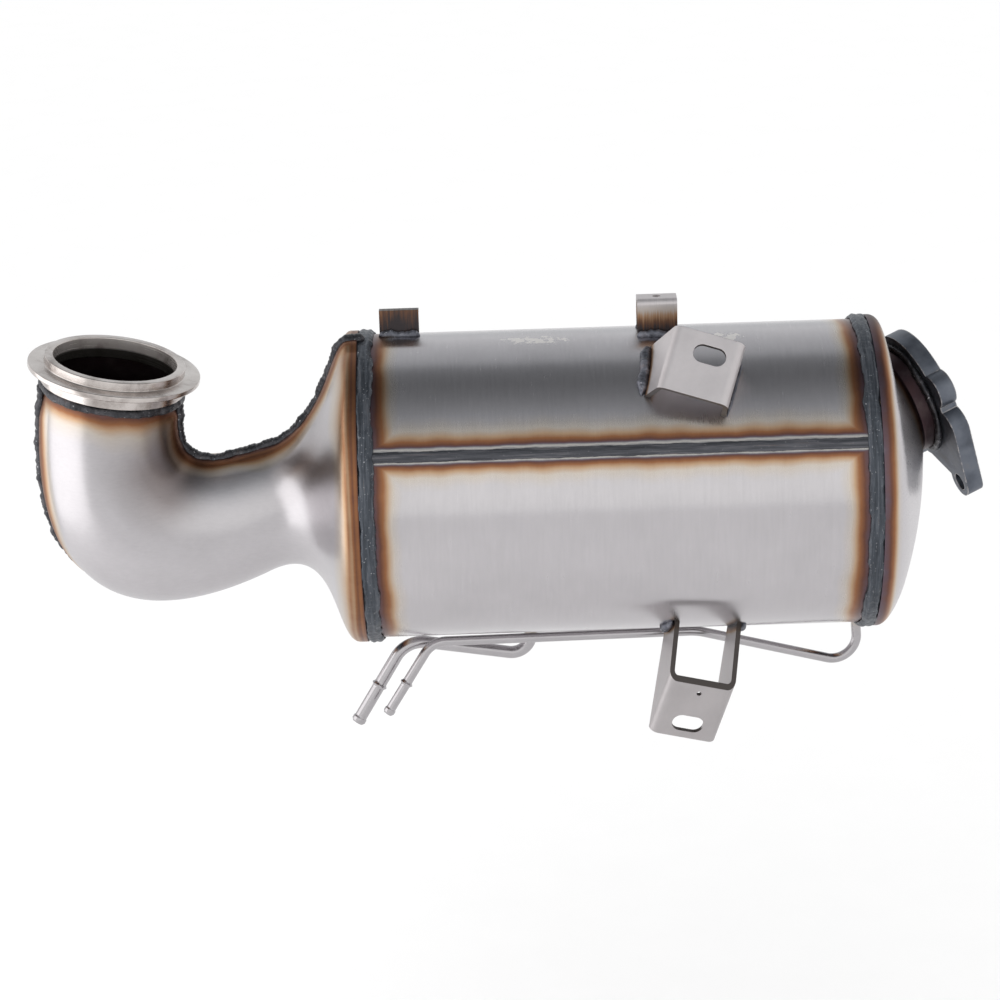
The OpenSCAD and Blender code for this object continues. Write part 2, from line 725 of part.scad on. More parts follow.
module outlet_flange() {
    side_r = 10;
    side_at = [-bolt_half - 2, -8];
    lug_at = [-bolt_half + 1, 12.5];
    ear_at = [-bolt_half, -bolt_down];
    color("slategray") on_outlet() difference() {
        linear_extrude(height = plate_t) {
            circle(r = plate_r);
            translate(lug_at) circle(r = lug_r);
            for (way = [0, 1]) mirror([way, 0]) {
                link(ear_at, bolt_ear_r, side_at, side_r);
                polygon([ear_at, [0, -plate_r + 1], [0, 0], lug_at, side_at]);
            }
        }
        translate([0, 0, -1]) cylinder(r = outlet_r + fit, h = plate_t + 2);
        for (way = [-1, 1]) translate([way * bolt_half, -bolt_down, -1])
            cylinder(d = bolt_d, h = plate_t + 2);
    }
}

module outlet_flange_weld() {
    inside = outlet_r + weld_fit;
    color("dimgray") on_outlet() rotate_extrude() polygon([
        [inside, 0],
        [inside + flange_weld_h, 0],
        [inside + flange_weld_h * 0.7, -flange_weld_h * 0.7],
        [inside, -flange_weld_h]]);
}

// Stations of a tube through waypoints, with a bend radius at each inner one: each is the centre,
// the direction and the height of the bead there
function bend_stations(p, d, e, radius) =
    let (turn = acos(d * e))
    let (inward = unit(e - d * (d * e)))
    let (centre = p - d * radius * tan(turn / 2) + inward * radius)
    let (steps = ceil(turn / bend_step))
    [for (k = [0 : steps])
        let (a = turn * k / steps)
        [centre + radius * (d * sin(a) - inward * cos(a)), d * cos(a) + inward * sin(a), 0]];
// The hose end has a stop bead and a swelled tip, as [distance from the end, height]
function hose_profile(length) = [
    [length + 1.2, 0], [length + 0.4, hose_bead], [length - 0.4, hose_bead], [length - 1.2, 0],
    [hose_tip + 1, 0], [hose_tip, hose_bead / 2], [hose_tip / 2, hose_bead / 2], [0, -hose_bead / 3]];
function tube_stations(points, bends, hose_len) =
    let (last = len(points) - 1)
    let (dirs = [for (i = [0 : last - 1]) unit(points[i + 1] - points[i])])
    concat([[points[0], dirs[0], 0]],
           [for (i = [1 : last - 1]) each bend_stations(points[i], dirs[i - 1], dirs[i], bends[i - 1])],
           [for (h = hose_profile(hose_len)) [points[last] - dirs[last - 1] * h[0], dirs[last - 1], h[1]]]);
function tube_ring(station, r) =
    let (side = unit(cross(station[1], [0, 1, 0])))
    let (up = cross(station[1], side))
    [for (k = [0 : tube_facets - 1])
        let (a = 360 * k / tube_facets)
        station[0] + r * (side * cos(a) + up * sin(a))];

module pressure_tube(points, bends, d, hose_len) {
    rows = tube_stations(points, bends, hose_len);
    tube_solid([for (s = rows) tube_ring(s, d / 2 + s[2])],
               [for (s = rows) tube_ring(s, d / 2 - tube_wall)]);
}

// Depth that both tubes reach through the wall, and the straight length below the downstream tap
tap_depth = 3;
tap_straight = 9;
// Slant of the drop towards the outlet, and of the run, of the downstream tube
drop_slant = 1.8;
meet_rise = 0.5;
leave_fall = 1;
// Share of the outlet ring weld's width at which the downstream tap comes through it
tap_share = 0.5;
// Radii of the bends, from each tap to the hose end
down_bends = [10, 12, 25, 14];
up_bends = [10, 16];
down_tap_x = cone_edge - ring_w * tap_share;
down_run = can_r + down_gap + down_tube_d / 2;
down_points = [
    [down_tap_x, 0, -can_r + tap_depth],
    [down_tap_x, 0, -can_r - tap_straight],
    [down_tap_x + drop_slant, 0, -can_r - down_drop],
    [elbow_reach + down_meet, -down_side, -down_run + meet_rise],
    [elbow_reach + down_leave, -down_side, -down_run - leave_fall],
    [elbow_reach + down_end, -down_end_side, -can_r - down_end_drop]];
up_points = [
    [up_tap_x, 0, -can_r + tap_depth],
    [up_tap_x, 0, -can_r - up_drop],
    [elbow_reach + up_leave, -up_side, -can_r - up_gap - up_tube_d / 2],
    [elbow_reach - up_end, -up_end_side, -can_r - up_end_drop]];

module upstream_tube() {
    color("lightgray") on_can_axis() pressure_tube(up_points, up_bends, up_tube_d, up_hose_len);
}

module downstream_tube() {
    color("lightgray") on_can_axis() pressure_tube(down_points, down_bends, down_tube_d, down_hose_len);
}

// Collar of weld round a tube, on a surface at radius r
collar_foot = 0.5;
collar_lift = 1.2;
module tap_collar(x, r, tube_d) {
    on_can_axis() translate([x, 0, -r - tap_weld * collar_lift]) difference() {
        cylinder(r1 = tube_d / 2 + tap_weld * collar_foot, r2 = tube_d / 2 + tap_weld, h = 3 * tap_weld);
        translate([0, 0, -1]) cylinder(r = tube_d / 2, h = 3 * tap_weld + 2);
    }
}

module upstream_tap_weld() {
    color("dimgray") difference() {
        tap_collar(up_tap_x, can_r, up_tube_d);
        can_volume();
    }
}

module downstream_tap_weld() {
    color("dimgray") difference() {
        tap_collar(down_tap_x, can_r + ring_h, down_tube_d);
        ring_weld(cone_edge, -1);
    }
}

// Channel of sheet: web on the plane Y = 0, flanges towards +Y, standing along Z. The left flange
// leans out by a splay
module channel(w, depth, h, splay) {
    linear_extrude(height = h) difference() {
        channel_fill(w, depth, 0, splay);
        channel_fill(w, 2 * depth, bracket_t, splay);
    }
}
// Shape inside the channel's outline moved in by an inset, with the bends on the same centres
module channel_fill(w, depth, inset, splay) {
    left = -w / 2 + bracket_bend * (1 - sin(splay)) / cos(splay);
    right = w / 2 - bracket_bend;
    r = bracket_bend - inset;
    polygon([[left, inset], [right, inset], [w / 2 - inset, bracket_bend], [w / 2 - inset, depth],
             [-w / 2 - depth * tan(splay) + inset / cos(splay), depth],
             [left - r * cos(splay), bracket_bend - r * sin(splay)]]);
    for (x = [left, right]) translate([x, bracket_bend]) circle(r = r);
}
module slot(length, width) {
    rotate([90, 0, 0]) translate([0, 0, -3 * bracket_t]) linear_extrude(height = 6 * bracket_t) {
        square([length - width, width], center = true);
        for (way = [-1, 1]) translate([way * (length - width) / 2, 0]) circle(d = width);
    }
}
// Side outline in Y and Z, carried along X from x over a width
module side_plate(x, width, outline) {
    translate([x, 0, 0]) rotate([90, 0, 90]) linear_extrude(height = width) polygon(outline);
}
// Layer on the can that the foot welds fill
module weld_layer(h) {
    can_turned([[elbow_reach, can_r], [elbow_reach, can_r + h], [cone_edge, can_r + h], [cone_edge, can_r]]);
}

// Frame of a bracket: a point off the can, then the bracket's own turn
module bracket_frame(x, roll, reach, turn) {
    on_can_axis() translate([elbow_reach + x, -(can_r + reach) * sin(roll), (can_r + reach) * cos(roll)])
        rotate(turn) children();
}
module on_lower() {
    bracket_frame(lower_x, lower_roll, lower_reach, [lower_pitch, lower_lean, lower_turn]) children();
}
module on_upper() {
    bracket_frame(upper_x, upper_roll, upper_reach, [upper_pitch, upper_lean, upper_turn]) children();
}

// Lengths that carry the legs and flanges into the can, which cuts them off
leg = 2 * lower_reach;
flange_run = 2 * upper_reach + bracket_bend;
function slanted(length, slant) = [length * sin(slant), length * cos(slant)];
lower_side = [[0, 0], [bracket_bend, 0], [bracket_bend, 0] + slanted(leg, lower_back_slant),
              [0, lower_web] + slanted(leg, lower_slant), [0, lower_web]];
upper_side = [[0, -upper_h / 2], [flange_run, -upper_h / 2], [flange_run, upper_h / 2 - upper_fall],
              [0, upper_h / 2]];

module lower_bracket() {
    color("gainsboro") difference() {
        on_lower() difference() {
            intersection() {
                translate([0, 0, -1]) channel(lower_w, leg, lower_web + leg, 0);
                side_plate(-lower_w, 2 * lower_w, lower_side);
            }
            translate([0, 0, slot_w / 2 + lower_slot_edge]) slot(slot_len, slot_w);
            translate([0, -1, lower_web - lower_hole_edge]) rotate([-90, 0, 0])
                cylinder(d = lower_hole, h = bracket_t + 2);
        }
        can_volume();
    }
}

module lower_bracket_welds() {
    color("dimgray") intersection() {
        on_lower() {
            side_plate(lower_w / 2, foot_weld, lower_side);
            side_plate(-lower_w / 2 - foot_weld, foot_weld, lower_side);
        }
        weld_layer(foot_weld);
    }
}

module upper_bracket() {
    color("gainsboro") difference() {
        on_upper() difference() {
            intersection() {
                translate([0, 0, -upper_h]) channel(upper_w, flange_run, 2 * upper_h, upper_splay);
                side_plate(-2 * upper_w, 4 * upper_w, upper_side);
            }
            translate([upper_slot_x, 0, upper_slot_z]) slot(slot_len, slot_w);
        }
        can_volume();
    }
}

module upper_bracket_welds() {
    color("dimgray") intersection() {
        on_upper() {
            side_plate(upper_w / 2, foot_weld, upper_side);
            translate([-upper_w / 2, 0, 0]) rotate([0, 0, upper_splay])
                side_plate(-foot_weld, foot_weld, upper_side);
        }
        weld_layer(foot_weld);
    }
}

// Holders are bent sheet: a profile in Y and height above the can's axis, carried along X and cut
// by the can
module on_holder(x, roll, width) {
    on_can(elbow_reach + x - width / 2, roll) translate([0, 0, -can_r]) rotate([90, 0, 90])
        linear_extrude(height = width) children();
}
// Upright rectangle with its two top corners rounded
module hat(w, h, r) {
    translate([-w / 2, 0]) square([w, h - r]);
    translate([-w / 2 + r, 0]) square([w - 2 * r, h]);
    for (way = [-1, 1]) translate([way * (w / 2 - r), h - r]) circle(r = r);
}

module heat_shield_strap() {
    top = can_r + strap_h;
    color("silver") difference() {
        on_holder(strap_x, strap_roll, holder_w) difference() {
            hat(strap_depth, top, 2 * holder_t);
            hat(strap_depth - 2 * holder_t, top - holder_t, holder_t);
        }
        on_can(elbow_reach + strap_x, strap_roll) cylinder(d = strap_hole, h = 2 * strap_h);
        can_volume();
    }
}

module strap_welds() {
    color("dimgray") intersection() {
        on_holder(strap_x, strap_roll, holder_w) for (way = [-1, 1])
            translate([way * (strap_depth + holder_weld) / 2, can_r])
                square([holder_weld, 4 * holder_weld], center = true);
        weld_layer(holder_weld);
    }
}

module heat_shield_tab() {
    top = can_r + tab_h;
    color("saddlebrown") difference() {
        on_holder(tab_x, tab_roll, holder_w) {
            square([holder_t, top]);
            translate([0, top - holder_t]) square([tab_depth, holder_t]);
        }
        can_volume();
    }
}

module tab_weld() {
    color("dimgray") intersection() {
        on_holder(tab_x, tab_roll, holder_w)
            translate([-holder_weld / 2, can_r]) square([holder_weld, 4 * holder_weld], center = true);
        weld_layer(holder_weld);
    }
}

inlet_flange();
inlet_flange_weld();
elbow_front_shell();
elbow_rear_shell();
elbow_inner_seam_weld();
elbow_outer_seam_weld();
can_shell();
can_seam_weld();
inlet_ring_weld();
outlet_ring_weld();
catalyst_brick();
catalyst_mat();
filter_brick();
filter_mat();
outlet_cone();
outlet_flange();
outlet_flange_weld();
upstream_tube();
upstream_tap_weld();
downstream_tube();
downstream_tap_weld();
lower_bracket();
lower_bracket_welds();
upper_bracket();
upper_bracket_welds();
heat_shield_strap();
strap_welds();
heat_shield_tab();
tab_weld();
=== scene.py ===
import math
import bmesh
import bpy
import numpy as np
from mathutils import Matrix


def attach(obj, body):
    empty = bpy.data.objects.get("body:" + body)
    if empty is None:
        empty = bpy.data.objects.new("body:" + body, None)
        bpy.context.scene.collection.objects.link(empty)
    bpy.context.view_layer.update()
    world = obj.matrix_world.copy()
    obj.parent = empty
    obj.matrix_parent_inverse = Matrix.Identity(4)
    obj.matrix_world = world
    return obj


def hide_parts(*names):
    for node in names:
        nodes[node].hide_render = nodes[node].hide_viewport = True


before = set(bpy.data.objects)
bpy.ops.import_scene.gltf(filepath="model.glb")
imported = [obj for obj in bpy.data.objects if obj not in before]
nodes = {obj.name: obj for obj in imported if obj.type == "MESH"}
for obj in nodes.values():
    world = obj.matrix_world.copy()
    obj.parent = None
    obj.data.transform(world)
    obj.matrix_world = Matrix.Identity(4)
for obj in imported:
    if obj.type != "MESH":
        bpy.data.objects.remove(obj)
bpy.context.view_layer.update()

# Camera. A long lens looks down on the can from the front, a little rolled, as the photo was taken.
CAMERA_RISE, CAMERA_ROLL, CAMERA_FAR = math.radians(21.478), math.radians(-1.843), 1.6495
camera_aim = np.array([0.191365, 0.0, -0.083128])
camera_back = np.array([0.0, -math.cos(CAMERA_RISE), math.sin(CAMERA_RISE)])
camera_up = np.array([0.0, math.sin(CAMERA_RISE), math.cos(CAMERA_RISE)])
camera_right = np.array([1.0, 0.0, 0.0])
camera_x = math.cos(CAMERA_ROLL) * camera_right + math.sin(CAMERA_ROLL) * camera_up
camera_y = math.cos(CAMERA_ROLL) * camera_up - math.sin(CAMERA_ROLL) * camera_right
camera_lens = bpy.data.cameras.new("camera")
camera_lens.sensor_width = 36.0
camera_lens.lens = 115.754
camera_lens.clip_end = 20.0
camera = bpy.data.objects.new("camera", camera_lens)
camera_at = camera_aim + CAMERA_FAR * camera_back
camera.matrix_world = Matrix([[camera_x[k], camera_y[k], camera_back[k], camera_at[k]] for k in range(3)]
                             + [[0, 0, 0, 1]])
bpy.context.collection.objects.link(camera)
bpy.context.scene.camera = camera

# Elbow shells. Two halves pressed from stainless sheet and lapped at a joggled lip, one in front and
# one behind. They are brushed, and tan, copper and purple tints run out from every weld.
LEAN, CAN_DROP, CAN_R = math.radians(10), 73.0, 77.5
ELBOW_REACH, SKIRT_LEN, SHEET = 122.2, 4.0, 1.5
NECK_R, NECK_TOP, NECK_LOW = 33.7, 11.0, 18.0
SKIRT_R = (CAN_R + 0.3) / math.cos(math.radians(5)) + SHEET
SEAM_FRONT, SEAM_BEHIND, SEAM_LIP, JOGGLE, LIP_LIFT = 5.0, 10.0, 11.0, 1.5, 1.8
inlet_down = np.array([-math.sin(LEAN), -math.cos(LEAN)])
inlet_side = np.array([math.cos(LEAN), -math.sin(LEAN)])


def bezier(a, b, c, d, t):
    """Cubic curve: the four points weighted by the binomial terms of t and 1 - t."""
    t = np.asarray(t, float)[..., None]
    return a * (1 - t) ** 3 + 3 * b * t * (1 - t) ** 2 + 3 * c * t * t * (1 - t) + d * t ** 3


def elbow_rail(side, t):
    """Inside (1) or outside (-1) curve of the bend in X and Z: one cubic to the waist, one to the skirt."""
    waist = np.array([72.2, -CAN_DROP - 9.5])
    tilt, slope = math.radians(1.7), math.radians(12 if side > 0 else 25.5)
    pull = (46, 14, 36, 9) if side > 0 else (108, 90, 40, 14)
    p = NECK_LOW * inlet_down + side * NECK_R * inlet_side
    q = waist + side * 33 * np.array([-math.sin(tilt), math.cos(tilt)])
    r = np.array([ELBOW_REACH - SKIRT_LEN, -CAN_DROP + side * SKIRT_R])
    way = np.array([math.cos(slope), math.sin(slope)])
    first = bezier(p, p + inlet_down * pull[0], q - way * pull[1], q, np.clip(t, 0, 1))
    last = bezier(q, q + way * pull[2], r - np.array([pull[3], 0]), r, np.clip(t - 1, 0, 1))
    return np.where((t <= 1)[..., None], first, last)


def elbow_half_width(t):
    """Half width across the bend: a scalar cubic from neck to waist and from waist to skirt."""
    one = lambda v: np.array([float(v)])
    first = bezier(one(NECK_R), one(NECK_R + 3), one(34.5), one(31.5), np.clip(t, 0, 1))
    last = bezier(one(31.5), one(31.5), one(SKIRT_R), one(SKIRT_R), np.clip(t - 1, 0, 1))
    return np.where(t <= 1, first[..., 0], last[..., 0])


def elbow_point(t, turn):
    """Ellipse between the two rails: turn 0 is the inside of the bend, 90 degrees the front."""
    inner, outer = elbow_rail(1, t), elbow_rail(-1, t)
    mid, half = (inner + outer) / 2, (inner - outer) / 2
    flat = mid + half * np.cos(turn)[..., None]
    return np.stack([flat[..., 0], -elbow_half_width(t) * np.sin(turn), flat[..., 1]], -1)


def unit(vectors):
    """Vectors divided by their lengths."""
    return vectors / np.linalg.norm(vectors, axis=-1, keepdims=True)


def elbow_at(t, turn, out):
    """Point of the elbow moved out along its normal, the cross product of its two slopes. Below t = 0
    it runs up the straight neck and beyond t = 2 along the skirt, both by a length in millimetres."""
    rail_t = np.clip(t, 0, 2)
    low, high = np.clip(rail_t - 0.002, 0, 2), np.clip(rail_t + 0.002, 0, 2)
    along = elbow_point(high, turn) - elbow_point(low, turn)
    around = elbow_point(rail_t, turn + 0.003) - elbow_point(rail_t, turn - 0.003)
    normal = unit(np.cross(around, along))
    neck = np.stack([inlet_down[0] * np.ones_like(t), 0 * t, inlet_down[1] * np.ones_like(t)], -1)
    shift = neck * np.minimum(t, 0)[..., None] + np.maximum(t - 2, 0)[..., None] * np.array([1.0, 0, 0])
    return elbow_point(rail_t, turn) + shift + np.asarray(out)[..., None] * normal


def front_turn(t, distance):
    """Turn at which the elbow lies that far in front of the plane of the bend."""
    return np.arcsin(distance / elbow_half_width(np.clip(t, 0, 2)))


def smooth_step(x, low, high):
    """0 below low, 1 above high, and a cubic ease between."""
    x = np.clip((x - low) / (high - low), 0, 1)
    return x * x * (3 - 2 * x)


def seam_turn(t, side, ahead):
    """Turn of a line that far ahead of the lip's edge; under the bend the outside seam falls back."""
    gone = smooth_step(t, 0.25, 0.6) if side < 0 else 0
    turn = front_turn(t, SEAM_FRONT - (SEAM_FRONT + SEAM_BEHIND) * gone + ahead)
    return turn if side > 0 else math.pi - turn


def grid_faces(rows, cols, wrap_rows=False, wrap_cols=False):
    """Quads of a grid of points, closed round either way if asked."""
    i = np.arange(rows if wrap_rows else rows - 1)[:, None]
    j = np.arange(cols if wrap_cols else cols - 1)[None]
    k, m = (i + 1) % rows, (j + 1) % cols
    return np.stack([i * cols + j, i * cols + m, k * cols + m, k * cols + j], -1).reshape(-1, 4)


def sheet_faces(rows, cols, wrap_cols=False):
    """Quads of an outer and an inner grid of the same size, joined along their open edges."""
    skin = grid_faces(rows, cols, wrap_cols=wrap_cols)
    count = rows * cols
    if wrap_cols:
        ends = [np.arange(cols), (rows - 1) * cols + np.arange(cols)]
    else:
        ends = [np.concatenate([np.arange(cols), np.arange(1, rows) * cols + cols - 1,
                                (rows - 1) * cols + np.arange(cols - 2, -1, -1),
                                np.arange(rows - 2, 0, -1) * cols])]
    rims = [np.stack([e, np.roll(e, -1), np.roll(e, -1) + count, e + count], -1) for e in ends]
    return np.concatenate([skin, skin[:, ::-1] + count] + rims)


def put_piece(name, points, faces, material, stands_for=(), marks=(), caps=(), sharp=40):
    """Mesh object from points in millimetres, quads and end caps, with named values per point."""
    points = np.asarray(points, float).reshape(-1, 3) * 0.001
    faces = np.asarray(faces, int).reshape(-1, 4)
    corners = np.concatenate([faces.ravel()] + [np.asarray(c, int) for c in caps])
    sizes = np.concatenate([np.full(len(faces), 4)] + [np.array([len(c)]) for c in caps]).astype(int)
    mesh = bpy.data.meshes.new(name)
    mesh.vertices.add(len(points))
    mesh.vertices.foreach_set("co", points.ravel())
    mesh.loops.add(len(corners))
    mesh.loops.foreach_set("vertex_index", corners.astype(np.int32))
    mesh.polygons.add(len(sizes))
    mesh.polygons.foreach_set("loop_start", np.concatenate([[0], np.cumsum(sizes)[:-1]]).astype(np.int32))
    mesh.update(calc_edges=True)
    mesh.validate()
    work = bmesh.new()
    work.from_mesh(mesh)
    bmesh.ops.recalc_face_normals(work, faces=work.faces)
    work.to_mesh(mesh)
    work.free()
    for key, values in marks:
        mesh.attributes.new(key, "FLOAT", "POINT").data.foreach_set("value", np.asarray(values, float).ravel())
    mesh.polygons.foreach_set("use_smooth", np.ones(len(mesh.polygons), bool))
    mesh.set_sharp_from_angle(angle=math.radians(sharp))
    piece = bpy.data.objects.new(name, mesh)
    bpy.context.collection.objects.link(piece)
    mesh.materials.append(material)
    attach(piece, "root")
    if stands_for:
        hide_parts(*stands_for)
    return piece


def put_sheet(name, skin, back, material, stands_for, marks, round_it=False):
    """Sheet between an outer and an inner grid of points; each mark has its values outside and inside."""
    flat = lambda values: (values + 0 * skin[..., 0]).ravel()
    return put_piece(name, np.concatenate([skin, back]), sheet_faces(*skin.shape[:2], round_it), material,
                     stands_for, [(key, np.concatenate([flat(outer), flat(inner)])) for key, outer, inner in marks])


def wander(length, scale, seed, rounds=4):
    """Smooth random line of values about -1 to 1 over a length: sines of falling wavelength."""
    dice = np.random.RandomState(seed)
    total = 0
    for k in range(rounds):
        total = total + np.sin(length / scale * 1.9 ** k * 2 * math.pi * (0.85 + 0.3 * dice.rand())
                               + dice.rand() * 6.283) * 0.72 ** k
    return total / 2.2


def node_maker(tree):
    """Way to add a node to a tree, set its options, and join or fill its sockets."""
    def node(kind, join=(), **values):
        made = tree.nodes.new("ShaderNode" + kind)
        for key, value in values.items():
            setattr(made, key, value)
        for socket, value in dict(join).items():
            if isinstance(value, bpy.types.NodeSocket):
                tree.links.new(value, made.inputs[socket])
            else:
                made.inputs[socket].default_value = value
        return made

    return node


def new_material(name):
    """Empty node material: a way to add nodes, the object's own coordinates, and a way to end it with a shader."""
    material = bpy.data.materials.new(name)
    material.use_nodes = True
    tree = material.node_tree
    tree.nodes.clear()
    node = node_maker(tree)

    def end(shader):
        node("OutputMaterial", {"Surface": shader.outputs["BSDF"]})
        return material

    return node, node("TexCoord").outputs["Object"], end


def mark(node, name):
    """Value that a piece carries per point."""
    return node("Attribute", attribute_name=name).outputs["Fac"]


def stretched(node, place, scale):
    """Place with each axis scaled."""
    return node("Mapping", {"Vector": place, "Scale": scale}).outputs["Vector"]


def noise(node, place, scale, detail, rough):
    """Cloudy noise, about 0.2 to 0.8."""
    return node("TexNoise", {"Vector": place, "Scale": scale, "Detail": detail, "Roughness": rough}).outputs["Fac"]


def spread(node, value, low, high, to_low, to_high):
    """Value carried from one range to another and held at its ends."""
    return node("MapRange", {"Value": value, "From Min": low, "From Max": high, "To Min": to_low,
                             "To Max": to_high}).outputs["Result"]


def maths(node, operation, a, b=0.0):
    """One sum of two values."""
    return node("Math", {0: a, 1: b}, operation=operation).outputs["Value"]


def tinted(node, colour, by):
    """Colour times a value or another colour."""
    return node("VectorMath", {0: colour, 1: by}, operation="MULTIPLY").outputs["Vector"]


def facing(node, way, other):
    """Dot product of two directions."""
    return node("VectorMath", {0: way, 1: other}, operation="DOT_PRODUCT").outputs["Value"]


def mixed(node, share, a, b):
    """Colour part of the way from a to b."""
    return node("Mix", {"Factor": share, "A": a, "B": b}, data_type="RGBA").outputs["Result"]


def bumped(node, height, strength, distance, **join):
    """Normal tilted by a height."""
    return node("Bump", {"Height": height, "Strength": strength, "Distance": distance, **join}).outputs["Normal"]


def set_stops(elements, stops):
    """Fill a colour ramp's two first elements with the end stops and add those between at their places."""
    for element, (place, colour) in zip((elements[0], elements[1]), (stops[0], stops[-1])):
        element.position, element.color = place, (*colour, 1)
    for place, colour in stops[1:-1]:
        elements.new(place).color = (*colour, 1)


def ramp(node, value, stops):
    """Colour ramp of a value: stops are [place, colour]."""
    made = node("ValToRGB", {"Fac": value})
    set_stops(made.color_ramp.elements, stops)
    return made.outputs["Color"]


HEAT_STOPS = [[0.0, (0.56, 0.538, 0.553)], [0.12, (0.58, 0.52, 0.46)], [0.26, (0.50, 0.34, 0.22)],
              [0.40, (0.30, 0.135, 0.065)], [0.54, (0.15, 0.07, 0.052)], [0.66, (0.13, 0.095, 0.115)],
              [0.78, (0.32, 0.31, 0.315)], [0.86, (0.50, 0.48, 0.455)], [0.92, (0.28, 0.275, 0.28)],
              [1.0, (0.26, 0.26, 0.27)]]
SHADE_TINT, FLAKE_TONE = (0.36, 0.31, 0.29), (0.80, 0.765, 0.74, 1)


def heated_steel(name, grain, rough=0.27, bump=0.05, pale=1.0, brushed=0.0):
    """Sheet whose colour runs through the heat colours of the mark "heat_mark", a little broken up by a noise,
    dimmed to brown as painted shade by "shade_mark" and paled in flakes by "flake_mark"; fine grain drawn out along
    one direction moves the roughness and the bump, and brushing round the can's axis spreads the gloss along it."""
    node, place, end = new_material(name)
    cloud = noise(node, place, 90.0, 5.0, 0.6)
    warm = maths(node, "MULTIPLY", mark(node, "heat_mark"), spread(node, cloud, 0.3, 0.7, 0.94, 1.06))
    fine = noise(node, stretched(node, place, grain), 1.0, 6.0, 0.65)
    smear = noise(node, place, 22.0, 6.0, 0.7)
    shade = maths(node, "MULTIPLY", spread(node, smear, 0.3, 0.75, 0.94 * pale, 1.05 * pale),
                  spread(node, fine, 0.25, 0.75, 0.955, 1.04))
    clean = tinted(node, ramp(node, warm, HEAT_STOPS), shade)
    # Painted shade: where the shade mark is set, the colour is dimmed toward dark brown.
    painted_shade_colour = mixed(node, mark(node, "shade_mark"), clean, tinted(node, clean, SHADE_TINT))
    crumb = noise(node, place, 210.0, 7.0, 0.62)
    rise = maths(node, "ADD", maths(node, "MULTIPLY", mark(node, "flake_mark"), 0.45), crumb)
    flaky = spread(node, rise, 0.84, 0.88, 0.0, 0.9)
    ash = maths(node, "ADD", spread(node, fine, 0.2, 0.8, rough - 0.025, rough + 0.035),
                maths(node, "MULTIPLY", warm, 0.18))
    face = node("BsdfPrincipled", {"Base Color": mixed(node, flaky, painted_shade_colour, FLAKE_TONE), "Metallic": 1.0,
                                   "Roughness": maths(node, "ADD", ash, maths(node, "MULTIPLY", flaky, 0.2)),
                                   "Normal": bumped(node, fine, bump, 0.0004), "Anisotropic": brushed})
    if brushed:
        face.inputs["Anisotropic Rotation"].default_value = 0.25
        round_can = node("Tangent", direction_type="RADIAL", axis="X").outputs["Tangent"]
        face.id_data.links.new(round_can, face.inputs["Tangent"])
    return end(face)


def heat_from(distance, *steps):
    """Place in the heat colours at a distance in millimetres from a weld: straight lines between steps
    of [distance, place]."""
    ways, places = np.array(steps).T
    return np.interp(distance, ways, places)


elbow_steel = heated_steel("brushed_elbow_steel", (260.0, 260.0, 900.0), rough=0.29, pale=0.94)

# Stations: up the neck, in even steps along the bend, and along the skirt
elbow_t = np.concatenate([np.linspace(NECK_TOP - NECK_LOW, 0, 10)[:-1], np.linspace(0, 2, 210),
                          np.linspace(2, 2 + SKIRT_LEN, 6)[1:]])[:, None]
elbow_rise = smooth_step(elbow_t, 0.005, 0.05)
# Painted shade: the insides of the elbow shells take a dark place in the heat colours everywhere, with full painted
# shade.
NECK_WELD_LOW, NECK_SIDE, INSIDE_SHADE_HEAT = 17.5, 45, 0.66


def elbow_heat(points, seam_gap):
    """Heat of an elbow shell: near the flange weld, the ring weld and its seam."""
    x, z = points[..., 0], points[..., 2]
    down = x * inlet_down[0] + z * inlet_down[1] - NECK_WELD_LOW
    uneven = 1 + 0.10 * np.sin(x * 0.11 + z * 0.07) + 0.05 * np.sin(points[..., 1] * 0.21 + x * 0.3)
    neck = heat_from(down * uneven, (0, 0.60), (3, 0.50), (5, 0.38), (8, 0.22), (12, 0.09), (20, 0))
    skirt = heat_from((ELBOW_REACH - x) * uneven, (0, 0.54), (1.2, 0.36), (2.4, 0.52),
                      (4.5, 0.30), (6, 0.37), (8, 0.22), (14, 0))
    seam = heat_from(seam_gap * uneven, (0, 0.60), (3, 0.52), (4.5, 0.42), (6, 0.47), (8, 0.34), (10, 0.18),
                     (15, 0))
    return np.maximum(np.maximum(np.where(x < NECK_SIDE, neck, 0), skirt), seam)


# Front half: lip edges, joggle, then even turns
LIP_STEPS, JOGGLE_STEPS, FRONT_STEPS, LIP_FLAT = 9, 6, 120, 3.5
lip_share, joggle_share, front_share = (np.linspace(0, 1, n)[None] for n in (LIP_STEPS, JOGGLE_STEPS, FRONT_STEPS))
(edge, lip, foot), (far_edge, far_lip, far_foot) = ([seam_turn(elbow_t, side, ahead) for ahead in
                                                     (0, SEAM_LIP, SEAM_LIP + JOGGLE)] for side in (1, -1))
front_half = np.concatenate([edge + (lip - edge) * lip_share, (lip + (foot - lip) * joggle_share)[:, 1:],
                             foot + (far_foot - foot) * front_share[:, 1:-1],
                             (far_foot + (far_lip - far_foot) * joggle_share)[:, :-1],
                             far_lip + (far_edge - far_lip) * lip_share], 1)
lip_reach = np.concatenate([np.linspace(0, SEAM_LIP, LIP_STEPS),
                            np.linspace(SEAM_LIP, SEAM_LIP + JOGGLE, JOGGLE_STEPS)[1:]])
lip_fall = 1 - smooth_step(lip_reach, LIP_FLAT, SEAM_LIP + JOGGLE)
lip_lift = np.concatenate([lip_fall, np.zeros(FRONT_STEPS - 2), lip_fall[::-1]])[None]
wide_t = elbow_t * np.ones_like(front_half)
front_out = LIP_LIFT * lip_lift * elbow_rise
front_skin = elbow_at(wide_t, front_half, front_out)
front_back = elbow_at(wide_t, front_half, front_out - SHEET)
bend_gap = np.linalg.norm(front_skin - front_skin[:, :1], axis=-1)
front_gap = np.minimum(bend_gap, np.linalg.norm(front_skin - front_skin[:, -1:], axis=-1))
front_heat = elbow_heat(front_skin, front_gap)
